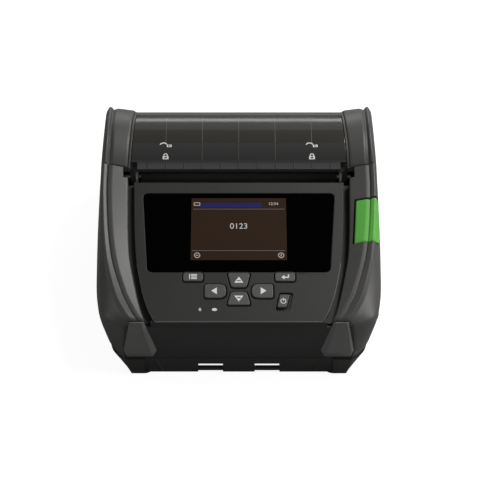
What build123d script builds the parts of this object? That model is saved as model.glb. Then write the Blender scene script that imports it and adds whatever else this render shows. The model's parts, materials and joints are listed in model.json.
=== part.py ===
"""Portable label printer: a hinged-cover mobile printer for labels about four inches wide.

Units are millimetres. +X is the viewer's right, +Y points to the rear, +Z up.
The origin is on the table under the middle of the object.
"""
from build123d import *
from math import atan2, cos, hypot, pi, radians, sin
import os

os.makedirs("parts", exist_ok=True)

# Overall size and the main levels of the casing
HALF_DEPTH = 81.0        # the casing runs from -81 to +81 along Y
BASE_LIFT = 0.8          # gap under the base, the height of the exposed feet
PART_Z = 11.5            # parting line between base shell and main housing
WIDE_Z = 34.0            # level at which the sides are widest
SIDE_SPLIT_Z = 42.0      # the cover's side walls stand on the housing at this level
SEAM_Y = 9.0             # seam between guards and cover
WALL = 2.5               # casing wall
FLOOR = 1.9              # base shell floor
SEAM = 0.3               # gap at a seam between the casing and a moving cover
FIT = 0.3                # clearance around keys, battery and flaps
RUN = 0.06               # radial clearance of a running shaft

# Control panel: a sloping plane from the front crease up to the label slot
CREASE_Y = -78.0
CREASE_Z = 39.0
PANEL_TOP_Y = 3.0
PANEL_TOP_Z = 64.0
PANEL_PLATE = 2.5        # visible plate
SEAT_DROP = 4.0          # guards and panel stand this far below the panel's face
SLOPE = atan2(PANEL_TOP_Z - CREASE_Z, PANEL_TOP_Y - CREASE_Y)
PANEL = Plane(
    origin=(0, CREASE_Y, CREASE_Z), x_dir=(1, 0, 0), z_dir=(0, -sin(SLOPE), cos(SLOPE))
)

# Half widths along the depth, as (y, half width), from the foot of the base upwards
FOOT_LINE = [(-81, 56.5), (-78.5, 57.6), (-76, 58.8), (-71.5, 60.8), (-58, 64.5), (-40, 66), (60, 66), (72, 64), (81, 58)]
PART_LINE = [(-81, 58), (-78.5, 61), (-76, 64.4), (-71.5, 67.2), (-58, 70), (-40, 71.5), (60, 71.5), (72, 70), (81, 64)]
WIDE_LINE = [(-81, 56), (-78.5, 58.4), (-76, 66), (-71.5, 72.2), (-60, 75.2), (-45, 76), (60, 76), (74, 75.6), (81, 71)]
SHOULDER_LINE = [(-78.5, 57), (-75, 62.5), (-70, 67.4), (-62, 71.8), (-50, 74.4), (-28, 75.6), (9, 75.8)]
# Guard lines, as (y, half width): panel edge, guard's inner edge, groove, outer ridge
PANEL_LINE = [(-78.5, 43.6), (-71.6, 47.2), (-60.7, 50.8), (-37.8, 54.9), (9, 57.4)]
INNER_LINE = [(-78.5, 48.4), (-73, 50.6), (-62, 53.6), (-39.4, 58.0), (9, 60.4)]
GROOVE_LINE = [(-78.5, 50.9), (-73.7, 56.0), (-63.7, 61.2), (-42.3, 67.4), (-10, 70.9), (9, 71.2)]
RIDGE_LINE = [(-78.5, 55.2), (-73.7, 60.0), (-63.7, 65.8), (-42.3, 71.6), (-10, 74.2), (9, 74.5)]
# Rise above the panel's plane, as (y, height)
CREST_RISE = [(-78.5, 0.7), (-63, 3.0), (-40, 4.6), (9, 5.5)]
INNER_RISE = [(-78.5, 0.5), (-60, 1.4), (-38, 2.3), (9, 3.5)]
RIDGE_RISE = [(-78.5, 0.8), (-63, 3.2), (-40, 5.3), (9, 6.9)]
SHOULDER_DROP = 2.0      # the shoulder lies this far under the panel's plane
GROOVE_WIDTH = 1.0
GROOVE_DEPTH = 0.6
RIDGE_FALL = 0.5         # the outer ridge's edge lies this far under its inner edge

# Cover: turned about an axis over the roll, hinged at the rear
COVER_Y = 34.0
COVER_Z = 41.0
COVER_R = 37.0           # outside of the clear window
COVER_SKIN = 2.0
WINDOW_HALF = 57.2       # half width of the window
WINDOW_FRONT = 134.0     # angle of the window's front edge, degrees above +Y
WINDOW_REAR = 70.0       # angle of its rear edge
WING_CREST_R = 39.1
WING_RIDGE_R = 40.3
WING_WALL_X = 75.6       # outside of the wing's side wall
HINGE_Y = 75.5
HINGE_Z = 44.5
HINGE_R = 2.9            # knuckle
PIN_R = 1.5

# Roll bay and platen
BAY_HALF = 60.5          # inside half width of the bay's cheeks
BAY_WALL = 2.0
BAY_FLOOR_Z = 2.75
BAY_FRONT_Y = 10.5
BAY_REAR_Y = 76.5
BAY_RIM_Z = 40.5
ROLL_Y = 43.0
ROLL_Z = 36.0
PLATEN_Y = 16.0
PLATEN_Z = 57.0
PLATEN_R = 5.5
SHAFT_R = 2.5
ROLLER_HALF = 54.0
EAR_X = 56.6             # inner face of the cover's shaft ears
EAR_T = 3.0
BUSH_R = 4.0

# Gears, on the left of the bay
MODULE = 0.8
PLATEN_TEETH = 16
IDLER_A_TEETH = 24
IDLER_B_TEETH = 22
PINION_TEETH = 10
GEAR_X = -70.0           # outer face of the gears
GEAR_T = 4.0
AXLE_R = 1.5
MOTOR_R = 11.0
MOTOR_L = 14.8

# Battery
BATTERY_HALF = 45.0
BATTERY_FRONT = -67.5
BATTERY_REAR = -10.5
BATTERY_Z = 1.2
BATTERY_TOP = 21.0

# Keys
KEY_RISE = 0.8
KEY_DEPTH = 3.0


def along(y, line):
    """Half width or height at y, on a smooth curve through the line's points."""
    if y <= line[0][0]:
        return line[0][1]
    for i in range(len(line) - 1):
        (y0, a), (y1, b) = line[i], line[i + 1]
        if y <= y1:
            before = line[max(i - 1, 0)]
            after = line[min(i + 2, len(line) - 1)]
            span = y1 - y0
            m0 = (b - before[1]) / (y1 - before[0])
            m1 = (after[1] - a) / (after[0] - y0)
            t = (y - y0) / span
            return (
                (2 * t**3 - 3 * t**2 + 1) * a
                + (t**3 - 2 * t**2 + t) * span * m0
                + (3 * t**2 - 2 * t**3) * b
                + (t**3 - t**2) * span * m1
            )
    return line[-1][1]


def panel_z(y):
    return CREASE_Z + (y - CREASE_Y) * (PANEL_TOP_Z - CREASE_Z) / (PANEL_TOP_Y - CREASE_Y)


def seat_z(y):
    return panel_z(y) - SEAT_DROP


def seat_x(y):
    """The side wall's half width where it meets the guard's seat."""
    wide, shoulder = along(y, WIDE_LINE), along(y, SHOULDER_LINE)
    share = (seat_z(y) - WIDE_Z) / (panel_z(y) - SHOULDER_DROP - WIDE_Z)
    return wide + (shoulder - wide) * max(share, 0.02)


def both_sides(points):
    """A closed outline from its right half, listed from the bottom up."""
    return points + [(-x, z) for x, z in reversed(points)]


def lengthwise(stations, outline, mode=Mode.ADD):
    """Join the outlines at the given stations along Y, inside the open part."""
    faces = []
    for y in stations:
        with BuildSketch(Plane.XZ.offset(-y)) as section:
            Polygon(*outline(y), align=None)
        faces.append(section.sketch)
    loft(faces, ruled=True, mode=mode)


def block(x0, x1, y0, y1, z0, z1, mode=Mode.ADD):
    """A box given by its corners."""
    with Locations(((x0 + x1) / 2, (y0 + y1) / 2, (z0 + z1) / 2)):
        Box(x1 - x0, y1 - y0, z1 - z0, mode=mode)


def rod(radius, x0, x1, y, z, mode=Mode.ADD):
    """A cylinder along X."""
    with BuildSketch(Plane.YZ.offset(x0)) as disc:
        with Locations((y, z)):
            Circle(radius)
    extrude(disc.sketch, amount=x1 - x0, mode=mode)


def plate(points, x0, x1, mode=Mode.ADD):
    """A plate square to X, from its outline in (y, z)."""
    with BuildSketch(Plane.YZ.offset(x0)) as outline:
        Polygon(*points, align=None)
    extrude(outline.sketch, amount=x1 - x0, mode=mode)


def on_panel(points, low, high, mode=Mode.ADD, corner=0.0, grow=0.0):
    """A prism square to the panel, from its outline in panel units (across, up the slope)."""
    with BuildSketch(PANEL.offset(low)) as outline:
        Polygon(*points, align=None)
        if corner:
            fillet(outline.vertices(), corner)
        if grow:
            offset(amount=grow)
    extrude(outline.sketch, amount=high - low, mode=mode)


def save(piece, name):
    piece.part.label = name
    export_step(piece.part, f"parts/{name}.step")


FRONT_STATIONS = [-78.5, -76, -73.5, -70, -65, -58, -49, -40, -20, SEAM_Y]
REAR_STATIONS = [SEAM_Y, 60, 68, 74, 78, HALF_DEPTH]

# Base shell: the tray under the parting line
BASE_FRONT = -79.6
STRAP_SLOT = 13.2        # width of each strap slot
STRAP_X = 15.0           # its centre, each side of the middle
STRAP_BAR_LOW = 1.9      # the bar a strap goes round
STRAP_BAR_HIGH = 3.7
STRAP_SLOT_TOP = 7.0
STRAP_BAR_Y = 2.0        # thickness of the bar along Y
STRAP_ROOM = 7.5         # depth of the pocket behind it
CENTRE_RECESS = 1.2
CORNER_BLOCK_X = 49.8    # inner end of the corner blocks
SCREW_PLACES = [(-55, -66), (55, -66), (-52, 76), (52, 76)]
SCREW_HEAD_R = 2.8
SCREW_HEAD_H = 1.4
SCREW_R = 1.45
SCREW_TOP = 13.4
BOSS_R = 3.4
FOOT_PLACES = [(-50, -74.5), (50, -74.5), (-55, 66), (55, 66)]
FOOT_R = 4.6
FOOT_INSET = 1.0


def base_outline(y, inset=0.0, low=BASE_LIFT, high=PART_Z):
    foot, part = along(y, FOOT_LINE), along(y, PART_LINE)

    def width(z):
        return foot + (part - foot) * (z - BASE_LIFT) / (PART_Z - BASE_LIFT) - inset

    return both_sides([(width(low), low), (width(high), high)])


BASE_STATIONS = [BASE_FRONT, -78.5, -76, -73.5, -70, -65, -58, -49, -40, 60, 68, 74, 78, HALF_DEPTH]
with BuildPart() as base_shell:
    lengthwise(BASE_STATIONS, base_outline)
    lengthwise(
        [BASE_FRONT + WALL, -73.5, -65, -58, -49, -40, 60, 68, 74, HALF_DEPTH - WALL],
        lambda y: base_outline(y, WALL, BASE_LIFT + FLOOR, PART_Z + 0.01),
        Mode.SUBTRACT,
    )
    # the middle of the front stands back from the corner blocks
    block(-CORNER_BLOCK_X, CORNER_BLOCK_X, -HALF_DEPTH, BASE_FRONT + CENTRE_RECESS, 0, PART_Z + 1, Mode.SUBTRACT)
    # walls of the strap pocket, then its slots and the room under the bars
    pocket_rear = BASE_FRONT + CENTRE_RECESS + STRAP_ROOM
    block(
        -STRAP_X - STRAP_SLOT, STRAP_X + STRAP_SLOT, BASE_FRONT + CENTRE_RECESS, pocket_rear + 1.5,
        BASE_LIFT, STRAP_SLOT_TOP + 1.6,
    )
    for side in (-1, 1):
        low, high = side * STRAP_X - STRAP_SLOT / 2, side * STRAP_X + STRAP_SLOT / 2
        face = BASE_FRONT + CENTRE_RECESS
        block(low, high, face - 1, pocket_rear, 0, STRAP_SLOT_TOP, Mode.SUBTRACT)
        block(low, high, face, face + STRAP_BAR_Y, STRAP_BAR_LOW, STRAP_BAR_HIGH)
    # battery opening
    block(
        -BATTERY_HALF - FIT, BATTERY_HALF + FIT, BATTERY_FRONT - FIT, BATTERY_REAR + FIT, 0,
        BASE_LIFT + FLOOR + 1, Mode.SUBTRACT,
    )
    # screw bosses with recessed heads, and recesses for the feet
    for x, y in SCREW_PLACES:
        with Locations((x, y, BASE_LIFT)):
            Cylinder(BOSS_R, PART_Z - BASE_LIFT, align=(Align.CENTER, Align.CENTER, Align.MIN))
    for x, y in SCREW_PLACES:
        with Locations((x, y, 0)):
            Cylinder(SCREW_R + 0.1, PART_Z + 1, align=(Align.CENTER, Align.CENTER, Align.MIN), mode=Mode.SUBTRACT)
            Cylinder(
                SCREW_HEAD_R + 0.2, BASE_LIFT + 0.4 + SCREW_HEAD_H,
                align=(Align.CENTER, Align.CENTER, Align.MIN), mode=Mode.SUBTRACT,
            )
    for x, y in FOOT_PLACES:
        with Locations((x, y, 0)):
            Cylinder(
                FOOT_R, BASE_LIFT + FOOT_INSET,
                align=(Align.CENTER, Align.CENTER, Align.MIN), mode=Mode.SUBTRACT,
            )
save(base_shell, "base_shell")

with BuildPart() as rubber_feet:
    for x, y in FOOT_PLACES:
        with Locations((x, y, 0)):
            Cylinder(FOOT_R, BASE_LIFT + FOOT_INSET, align=(Align.CENTER, Align.CENTER, Align.MIN))
    chamfer(rubber_feet.faces().group_by(Axis.Z)[0].edges(), 0.3)
save(rubber_feet, "rubber_feet")

with BuildPart() as case_screws:
    for x, y in SCREW_PLACES:
        with Locations((x, y, BASE_LIFT + 0.4)):
            Cylinder(SCREW_HEAD_R, SCREW_HEAD_H, align=(Align.CENTER, Align.CENTER, Align.MIN))
            Cylinder(SCREW_R, SCREW_TOP - BASE_LIFT - 0.9, align=(Align.CENTER, Align.CENTER, Align.MIN))
        with Locations((x, y, BASE_LIFT + 0.4)):
            Box(0.7, 3.2, 0.7, align=(Align.CENTER, Align.CENTER, Align.MIN), mode=Mode.SUBTRACT)
            Box(3.2, 0.7, 0.7, align=(Align.CENTER, Align.CENTER, Align.MIN), mode=Mode.SUBTRACT)
save(case_screws, "case_screws")


# Main housing: side walls, front face and rear wall
PORT_FRONT = -67.0       # side port opening, right wall
PORT_REAR = -50.0
PORT_LOW = 17.5
PORT_HIGH = 30.5
KNUCKLE_INNER = 30.6     # housing knuckles lie each side of the cover's
KNUCKLE_GAP = 0.3
KNUCKLE_L = 9.0


def housing_front(y, inset=0.0, grow=0.0):
    seat = seat_z(y) + grow
    return both_sides([
        (along(y, PART_LINE) - inset, PART_Z - grow),
        (along(y, WIDE_LINE) - inset, WIDE_Z),
        (seat_x(y) - inset, seat),
    ])


def housing_rear(y, inset=0.0, grow=0.0):
    wide = along(y, WIDE_LINE)
    return both_sides([
        (along(y, PART_LINE) - inset, PART_Z - grow),
        (wide - inset, WIDE_Z),
        (wide - 0.5 - inset, SIDE_SPLIT_Z + grow),
    ])


DECK_FRONT = 68.0
DECK_T = 2.0
DECK_IN = BAY_HALF + BAY_WALL


def deck_outline(y):
    half = along(y, WIDE_LINE) - 1
    return both_sides([(half, BAY_RIM_Z - DECK_T), (half, BAY_RIM_Z)])


with BuildPart() as main_housing:
    lengthwise(FRONT_STATIONS, housing_front)
    lengthwise(REAR_STATIONS, housing_rear)
    lengthwise([-75.8, -70, -65, -58, -49, -40, -20, SEAM_Y + 0.5], lambda y: housing_front(y, WALL, 0.5), Mode.SUBTRACT)
    lengthwise([SEAM_Y - 0.5, 60, 68, 74, HALF_DEPTH - WALL], lambda y: housing_rear(y, WALL, 0.5), Mode.SUBTRACT)
    # bosses for the case screws, tied to the walls
    for x, y in SCREW_PLACES:
        side = 1 if x > 0 else -1
        with Locations((x, y, PART_Z)):
            Cylinder(BOSS_R, SCREW_TOP + 1.0 - PART_Z, align=(Align.CENTER, Align.CENTER, Align.MIN))
        if y < 0:
            low, high = sorted((x + side * 2, side * (along(y, PART_LINE) - 1)))
            block(low, high, y - 1, y + 1, PART_Z, SCREW_TOP + 1.0)
        else:
            block(x - 1, x + 1, y + 2, HALF_DEPTH - 1, PART_Z, SCREW_TOP + 1.0)
    for x, y in SCREW_PLACES:
        with Locations((x, y, PART_Z - 0.5)):
            Cylinder(SCREW_R + 0.1, SCREW_TOP - PART_Z + 0.8, align=(Align.CENTER, Align.CENTER, Align.MIN), mode=Mode.SUBTRACT)
    # hinge knuckles on the rear wall
    for side in (-1, 1):
        for start in (KNUCKLE_INNER - KNUCKLE_L, KNUCKLE_INNER + 2 * KNUCKLE_GAP + KNUCKLE_L):
            low, high = sorted((side * start, side * (start + KNUCKLE_L)))
            rod(HINGE_R, low, high, HINGE_Y, HINGE_Z)
            plate(
                [(HINGE_Y + 1, HINGE_Z - 2.6), (HINGE_Y + 1, HINGE_Z + 2.6), (HALF_DEPTH, SIDE_SPLIT_Z),
                 (HALF_DEPTH, 34), (HALF_DEPTH - WALL, 34)],
                low, high,
            )
    rod(PIN_R, -60, 60, HINGE_Y, HINGE_Z, Mode.SUBTRACT)
    # deck that closes the gap behind the roll bay and under the wings
    lengthwise([DECK_FRONT, 74, 78, HALF_DEPTH - 1], deck_outline)
    block(-DECK_IN, DECK_IN, DECK_FRONT - 1, BAY_REAR_Y, BAY_RIM_Z - 2 * DECK_T, BAY_RIM_Z + 1, Mode.SUBTRACT)
    # side port opening
    block(60, 78, PORT_FRONT, PORT_REAR, PORT_LOW, PORT_HIGH, Mode.SUBTRACT)
save(main_housing, "main_housing")


# Side guards: broad face, crest, groove and outer ridge, hollow underneath
GUARD_SKIN = 1.8
GUARD_STATIONS = [CREASE_Y, -74, -69, -63, -56, -48, -40, -26, -12, SEAM_Y]
SLOT_END_X = 63.0        # the label slot cuts into the guards up to here
SLOT_FRONT_Y = 2.6
LATCH_FRONT = -36.6
LATCH_REAR = -11.6
LATCH_IN_X = 62.6
LATCH_GAP = 1.5          # gap beside the latch, for its swing
LATCH_REAR_GAP = 0.9     # gap behind it, seen as a dark line
LATCH_LIFT = 0.8


def guard_outline(y):
    top = panel_z(y)
    groove, ridge = along(y, GROOVE_LINE), along(y, RIDGE_LINE)
    crest_z, high = top + along(y, CREST_RISE), top + along(y, RIDGE_RISE)
    return [
        (along(y, INNER_LINE), seat_z(y)),
        (along(y, INNER_LINE), top + along(y, INNER_RISE)),
        (groove - GROOVE_WIDTH, crest_z),
        (groove, crest_z - GROOVE_DEPTH),
        (groove + (ridge - groove) * 0.22, high),
        (ridge, high - RIDGE_FALL),
        (along(y, SHOULDER_LINE), top - SHOULDER_DROP),
        (seat_x(y), seat_z(y)),
    ]


def guard_hollow(y, inner_from=0.0):
    top = panel_z(y)
    crest_z = top + along(y, CREST_RISE)
    inner = max(along(y, INNER_LINE) + GUARD_SKIN, inner_from)
    groove = max(along(y, GROOVE_LINE), inner + 1)
    outer = seat_x(y) - WALL + 0.3
    return [
        (inner, seat_z(y) - 1),
        (inner, top + along(y, INNER_RISE) - GUARD_SKIN - 0.4),
        (groove, crest_z - GUARD_SKIN - GROOVE_DEPTH),
        (max(outer - 2, groove + 0.5), crest_z - GUARD_SKIN - GROOVE_DEPTH - 1),
        (max(outer, groove + 1), seat_z(y) - 1),
    ]


with BuildPart() as guard_blank:
    lengthwise(GUARD_STATIONS, guard_outline)
    lengthwise([-66, -60, -53, -46, -38, -26, -12, 0], guard_hollow, Mode.SUBTRACT)
    lengthwise([-0.5, SEAM_Y + 1], lambda y: guard_hollow(y, SLOT_END_X + GUARD_SKIN), Mode.SUBTRACT)
    block(50, SLOT_END_X, SLOT_FRONT_Y, SEAM_Y + 1, 50, 80, Mode.SUBTRACT)

with BuildPart() as side_guard_left:
    mirror(guard_blank.part, about=Plane.YZ)
save(side_guard_left, "side_guard_left")

with BuildPart() as side_guard_right:
    add(guard_blank.part)
    block(LATCH_IN_X - LATCH_GAP, 80, LATCH_FRONT - FIT, LATCH_REAR + LATCH_REAR_GAP, 40, 80, Mode.SUBTRACT)
save(side_guard_right, "side_guard_right")

# Release latch: a piece of the right guard's form that rocks inwards about its lower outer edge
LATCH_MID = (LATCH_FRONT + LATCH_REAR) / 2
HOOK_X0, HOOK_X1 = 66.0, 68.6
HOOK_Z = 52.0
HOOK_RISE = 1.3          # the rib under the latch stands this far over the panel's plane
with BuildPart() as release_latch:
    lengthwise([LATCH_FRONT, -30, -24, -18, LATCH_REAR], guard_outline)
    lengthwise([LATCH_FRONT + 2, -30, -24, -18, LATCH_REAR - 2], guard_hollow, Mode.SUBTRACT)
    block(50, LATCH_IN_X, LATCH_FRONT - 1, LATCH_REAR + 1, 40, 80, Mode.SUBTRACT)
    on_panel([(50, 30), (80, 30), (80, 80), (50, 80)], -SEAT_DROP * 2, -SEAT_DROP * cos(SLOPE) + LATCH_LIFT, Mode.SUBTRACT)
save(release_latch, "release_latch")

with BuildPart() as latch_hook:
    # arm from under the latch back to the keeper on the cover, with its nose turned up
    plate(
        [(-22, HOOK_Z - 4), (SEAM_Y + 4.5, HOOK_Z - 4), (SEAM_Y + 4.5, HOOK_Z + 1), (SEAM_Y + 2.5, HOOK_Z + 2.5),
         (SEAM_Y + 2, HOOK_Z - 0.5), (-14.2, HOOK_Z - 0.5), (-15, panel_z(-15) + HOOK_RISE), (-20, panel_z(-20) + HOOK_RISE)],
        HOOK_X0, HOOK_X1,
    )
save(latch_hook, "latch_hook")


# Corner bumpers: proud facets at the front corners, each with a sloping inner strip
BUMPER_FRONT = -HALF_DEPTH
BUMPER_TOP_Z = CREASE_Z - 0.2
BUMPER_LOW_Z = 17.7


def corner_bumper(side):
    rows = [
        (BUMPER_TOP_Z, [(49.6, -79.1), (55.4, -79.1), (57.4, -78.5), (48.2, -78.5)]),
        (BUMPER_LOW_Z, [(45.4, BUMPER_FRONT), (59.3, BUMPER_FRONT + 0.5), (62.2, -78.5), (42.6, -78.5)]),
        (PART_Z + 0.4, [(45.6, -79.8), (58.8, -79.8), (60.4, -78.5), (44.6, -78.5)]),
    ]
    faces = []
    for z, points in rows:
        with BuildSketch(Plane.XY.offset(z)) as level:
            Polygon(*[(side * x, y) for x, y in points], align=None)
        faces.append(level.sketch)
    with BuildPart() as bumper:
        loft(faces, ruled=True)
    return bumper


corner_bumper_left = corner_bumper(-1)
save(corner_bumper_left, "corner_bumper_left")
corner_bumper_right = corner_bumper(1)
save(corner_bumper_right, "corner_bumper_right")

# Control panel: plate with the window recess, key openings and the power key's dish
PANEL_LENGTH = hypot(PANEL_TOP_Y - CREASE_Y, PANEL_TOP_Z - CREASE_Z)
WINDOW_TOP = 77.3
WINDOW_BOTTOM = 28.8
WINDOW_TOP_HALF = 51.8
WINDOW_BOTTOM_HALF = 48.0
WINDOW_T = 1.2
SCREEN_HALF = 25.5
SCREEN_TOP = 74.3
SCREEN_BOTTOM = 36.0
MODULE_MARGIN = 1.2

KEYS = {
    "menu": [(-29.3, 23.0), (-18.7, 23.0), (-18.7, 28.0), (-29.3, 28.0)],
    "enter": [(18.9, 23.0), (29.5, 23.0), (29.5, 28.0), (18.9, 28.0)],
    "up": [(-3.9, 19.3), (3.9, 19.3), (6.0, 27.9), (-6.0, 27.9)],
    "down": [(-6.1, 9.0), (6.1, 9.0), (4.1, 16.9), (-4.1, 16.9)],
    "left": [(-17.9, 13.1), (-6.6, 13.1), (-6.6, 21.4), (-17.9, 21.4)],
    "right": [(6.6, 13.1), (17.9, 13.1), (17.9, 21.4), (6.6, 21.4)],
    "power": [(19.8, 7.6), (24.6, 7.6), (26.6, 15.2), (21.4, 15.2)],
}
POWER_DISH = [(19.0, 5.8), (26.0, 5.8), (28.4, 16.4), (20.8, 16.4)]
KEY_CORNER = 1.0
LIGHTS = [(-20.1, 6.6), (-12.6, 6.6)]
LIGHT_R = 0.9

window_outline = [
    (-WINDOW_BOTTOM_HALF, WINDOW_BOTTOM), (WINDOW_BOTTOM_HALF, WINDOW_BOTTOM),
    (WINDOW_TOP_HALF, WINDOW_TOP), (-WINDOW_TOP_HALF, WINDOW_TOP),
]
screen_outline = [
    (-SCREEN_HALF, SCREEN_BOTTOM), (SCREEN_HALF, SCREEN_BOTTOM),
    (SCREEN_HALF, SCREEN_TOP), (-SCREEN_HALF, SCREEN_TOP),
]
with BuildPart() as control_panel:
    def plate_outline(line, high, low, edge=0.0):
        def outline(y):
            half = along(y, line) - edge
            drop_high, drop_low = high / cos(SLOPE), low / cos(SLOPE)
            return both_sides([(half, panel_z(y) - drop_low), (half, panel_z(y) - drop_high)])
        return outline

    panel_stations = GUARD_STATIONS[:-1] + [PANEL_TOP_Y - 0.4]
    lengthwise(panel_stations, plate_outline(PANEL_LINE, 0.0, PANEL_PLATE))
    lengthwise(panel_stations, plate_outline(INNER_LINE, PANEL_PLATE - 0.01, SEAT_DROP * cos(SLOPE), 0.06))
    on_panel(window_outline, -WINDOW_T, 5, Mode.SUBTRACT, corner=3.0, grow=0.1)
    on_panel(screen_outline, -8, 5, Mode.SUBTRACT, grow=MODULE_MARGIN + FIT)
    on_panel(POWER_DISH, -0.6, 5, Mode.SUBTRACT, corner=1.0)
    for outline in KEYS.values():
        on_panel(outline, -8, 5, Mode.SUBTRACT, corner=KEY_CORNER, grow=FIT)
    for across, up in LIGHTS:
        with BuildSketch(PANEL.offset(-8)):
            with Locations((across, up)):
                Circle(LIGHT_R + 0.02)
        extrude(amount=12, mode=Mode.SUBTRACT)
save(control_panel, "control_panel")

with BuildPart() as display_window:
    on_panel(window_outline, -WINDOW_T, 0.0, corner=3.0)
save(display_window, "display_window")

MODULE_LOW = -7.5
with BuildPart() as display_module:
    on_panel(screen_outline, -4.4, -WINDOW_T - 0.02, grow=MODULE_MARGIN)
    on_panel([(-33, 32.5), (33, 32.5), (33, 78), (-33, 78)], MODULE_LOW, -4.1, corner=1.0)
save(display_module, "display_module")

KEY_BOARD_TOP = -6.2
with BuildPart() as keypad_board:
    on_panel([(-34, 2.5), (34, 2.5), (34, 30), (-34, 30)], KEY_BOARD_TOP - 1.2, KEY_BOARD_TOP, corner=1.0)
    for outline in KEYS.values():
        across = sum(p[0] for p in outline) / len(outline)
        up = sum(p[1] for p in outline) / len(outline)
        with BuildSketch(PANEL.offset(KEY_BOARD_TOP)):
            with Locations((across, up)):
                Circle(1.8)
        extrude(amount=0.7)
    # standoffs that carry the board under the panel
    for across in (-31.5, 31.5):
        with BuildSketch(PANEL.offset(KEY_BOARD_TOP)):
            with Locations((across, 5.5), (across, 19.0)):
                Circle(1.6)
        extrude(amount=-SEAT_DROP * cos(SLOPE) - 0.02 - KEY_BOARD_TOP)
save(keypad_board, "keypad_board")

KEY_FLANGE_T = 0.7
for key_name, outline in KEYS.items():
    with BuildPart() as key:
        on_panel(outline, -KEY_DEPTH - 1.4, KEY_RISE, corner=KEY_CORNER)
        crown = key.faces().sort_by(Axis.Z)[-1].edges()
        fillet(crown, 0.35)
        on_panel(
            outline, -SEAT_DROP * cos(SLOPE) - 0.1 - KEY_FLANGE_T, -SEAT_DROP * cos(SLOPE) - 0.1,
            corner=KEY_CORNER, grow=0.55,
        )
    save(key, f"key_{key_name}")

with BuildPart() as status_lights:
    for across, up in LIGHTS:
        with BuildSketch(PANEL.offset(KEY_BOARD_TOP + 0.1)):
            with Locations((across, up)):
                Circle(LIGHT_R)
        extrude(amount=-KEY_BOARD_TOP)
save(status_lights, "status_lights")

BOARD_HIGH = -15.0
with BuildPart() as main_board:
    on_panel([(-31, 12), (52, 12), (52, 66), (-31, 66)], BOARD_HIGH - 1.6, BOARD_HIGH, corner=1.5)
    # processor, memory and power inductors
    for across, up, size, high in ((0, 40, 14, 1.6), (22, 44, 10, 1.2), (38, 28, 9, 3.5), (38, 44, 8, 3.0)):
        with BuildSketch(PANEL.offset(BOARD_HIGH)):
            with Locations((across, up)):
                Rectangle(size, size)
        extrude(amount=high)
    # spacers up to the display module and the keypad board
    for across, up, top in ((-28, 35, MODULE_LOW), (28, 60, MODULE_LOW), (-28, 15, KEY_BOARD_TOP - 1.2), (28, 15, KEY_BOARD_TOP - 1.2)):
        with BuildSketch(PANEL.offset(BOARD_HIGH)):
            with Locations((across, up)):
                Circle(2.2)
        extrude(amount=top - 0.02 - BOARD_HIGH)
save(main_board, "main_board")


# Tear bar along the panel's rear edge, with fine teeth
TEAR_PITCH = 1.5
TEAR_T = 0.5
with BuildPart() as tear_bar:
    y0 = PANEL_TOP_Y - 0.38
    top = PANEL_TOP_Z - 0.2
    count = int(2 * 57 / TEAR_PITCH)
    start = -count * TEAR_PITCH / 2
    points = [(start, top - 3.2)]
    for i in range(count):
        points.append((start + i * TEAR_PITCH, top - 0.8))
        points.append((start + (i + 0.5) * TEAR_PITCH, top))
    points.append((-start, top - 0.8))
    points.append((-start, top - 3.2))
    with BuildSketch(Plane.XZ.offset(-y0 - TEAR_T)):
        Polygon(*points, align=None)
    extrude(amount=TEAR_T)
save(tear_bar, "tear_bar")


# Cover: frame with its wings, turned about the cover's axis
COVER_LOW_Z = SIDE_SPLIT_Z + SEAM
COVER_FRONT_Y = SEAM_Y + SEAM
TURN_START = 142.0


def radial_plane(angle):
    """Plane through the cover's axis: local x is X, local y is the radius at that angle."""
    c, s = cos(radians(angle)), sin(radians(angle))
    return Plane(origin=(0, COVER_Y, COVER_Z), x_dir=(1, 0, 0), z_dir=(0, -s, c))


def turned(points, start, end, mode=Mode.ADD):
    """Turn an (x, radius) outline about the cover's axis, from start down to end degrees."""
    with BuildSketch(radial_plane(start)) as section:
        Polygon(*points, align=None)
    revolve(section.sketch, axis=Axis((0, COVER_Y, COVER_Z), (-1, 0, 0)), revolution_arc=start - end, mode=mode)


LEDGE_R = COVER_R - COVER_SKIN - 0.1
LEDGE_IN = 54.0
GROOVE_X = 71.2
RIDGE_X = 74.5
WING_SECTION = [
    (LEDGE_IN, LEDGE_R - 1.6), (LEDGE_IN, LEDGE_R), (WINDOW_HALF + 0.1, LEDGE_R),
    (WINDOW_HALF + 0.1, COVER_R + 0.3), (WINDOW_HALF + 0.9, COVER_R + 0.8), (GROOVE_X - GROOVE_WIDTH, WING_CREST_R),
    (GROOVE_X, WING_CREST_R - GROOVE_DEPTH), (GROOVE_X + 0.7, WING_RIDGE_R),
    (RIDGE_X, WING_RIDGE_R - RIDGE_FALL), (WING_WALL_X, COVER_R), (WING_WALL_X, COVER_R - 4),
    (WING_WALL_X - WALL, COVER_R - 4), (WING_WALL_X - WALL, COVER_R - 1.0), (70.0, COVER_R - 0.1),
    (WINDOW_HALF + 2.4, COVER_R - 0.8), (WINDOW_HALF + 2.4, LEDGE_R - 1.6),
]
EAR_POINTS = [(PLATEN_Y - 5.2, PLATEN_Z), (PLATEN_Y - 5.2, 72), (PLATEN_Y + 6, 76), (PLATEN_Y + 5.6, PLATEN_Z)]
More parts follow.
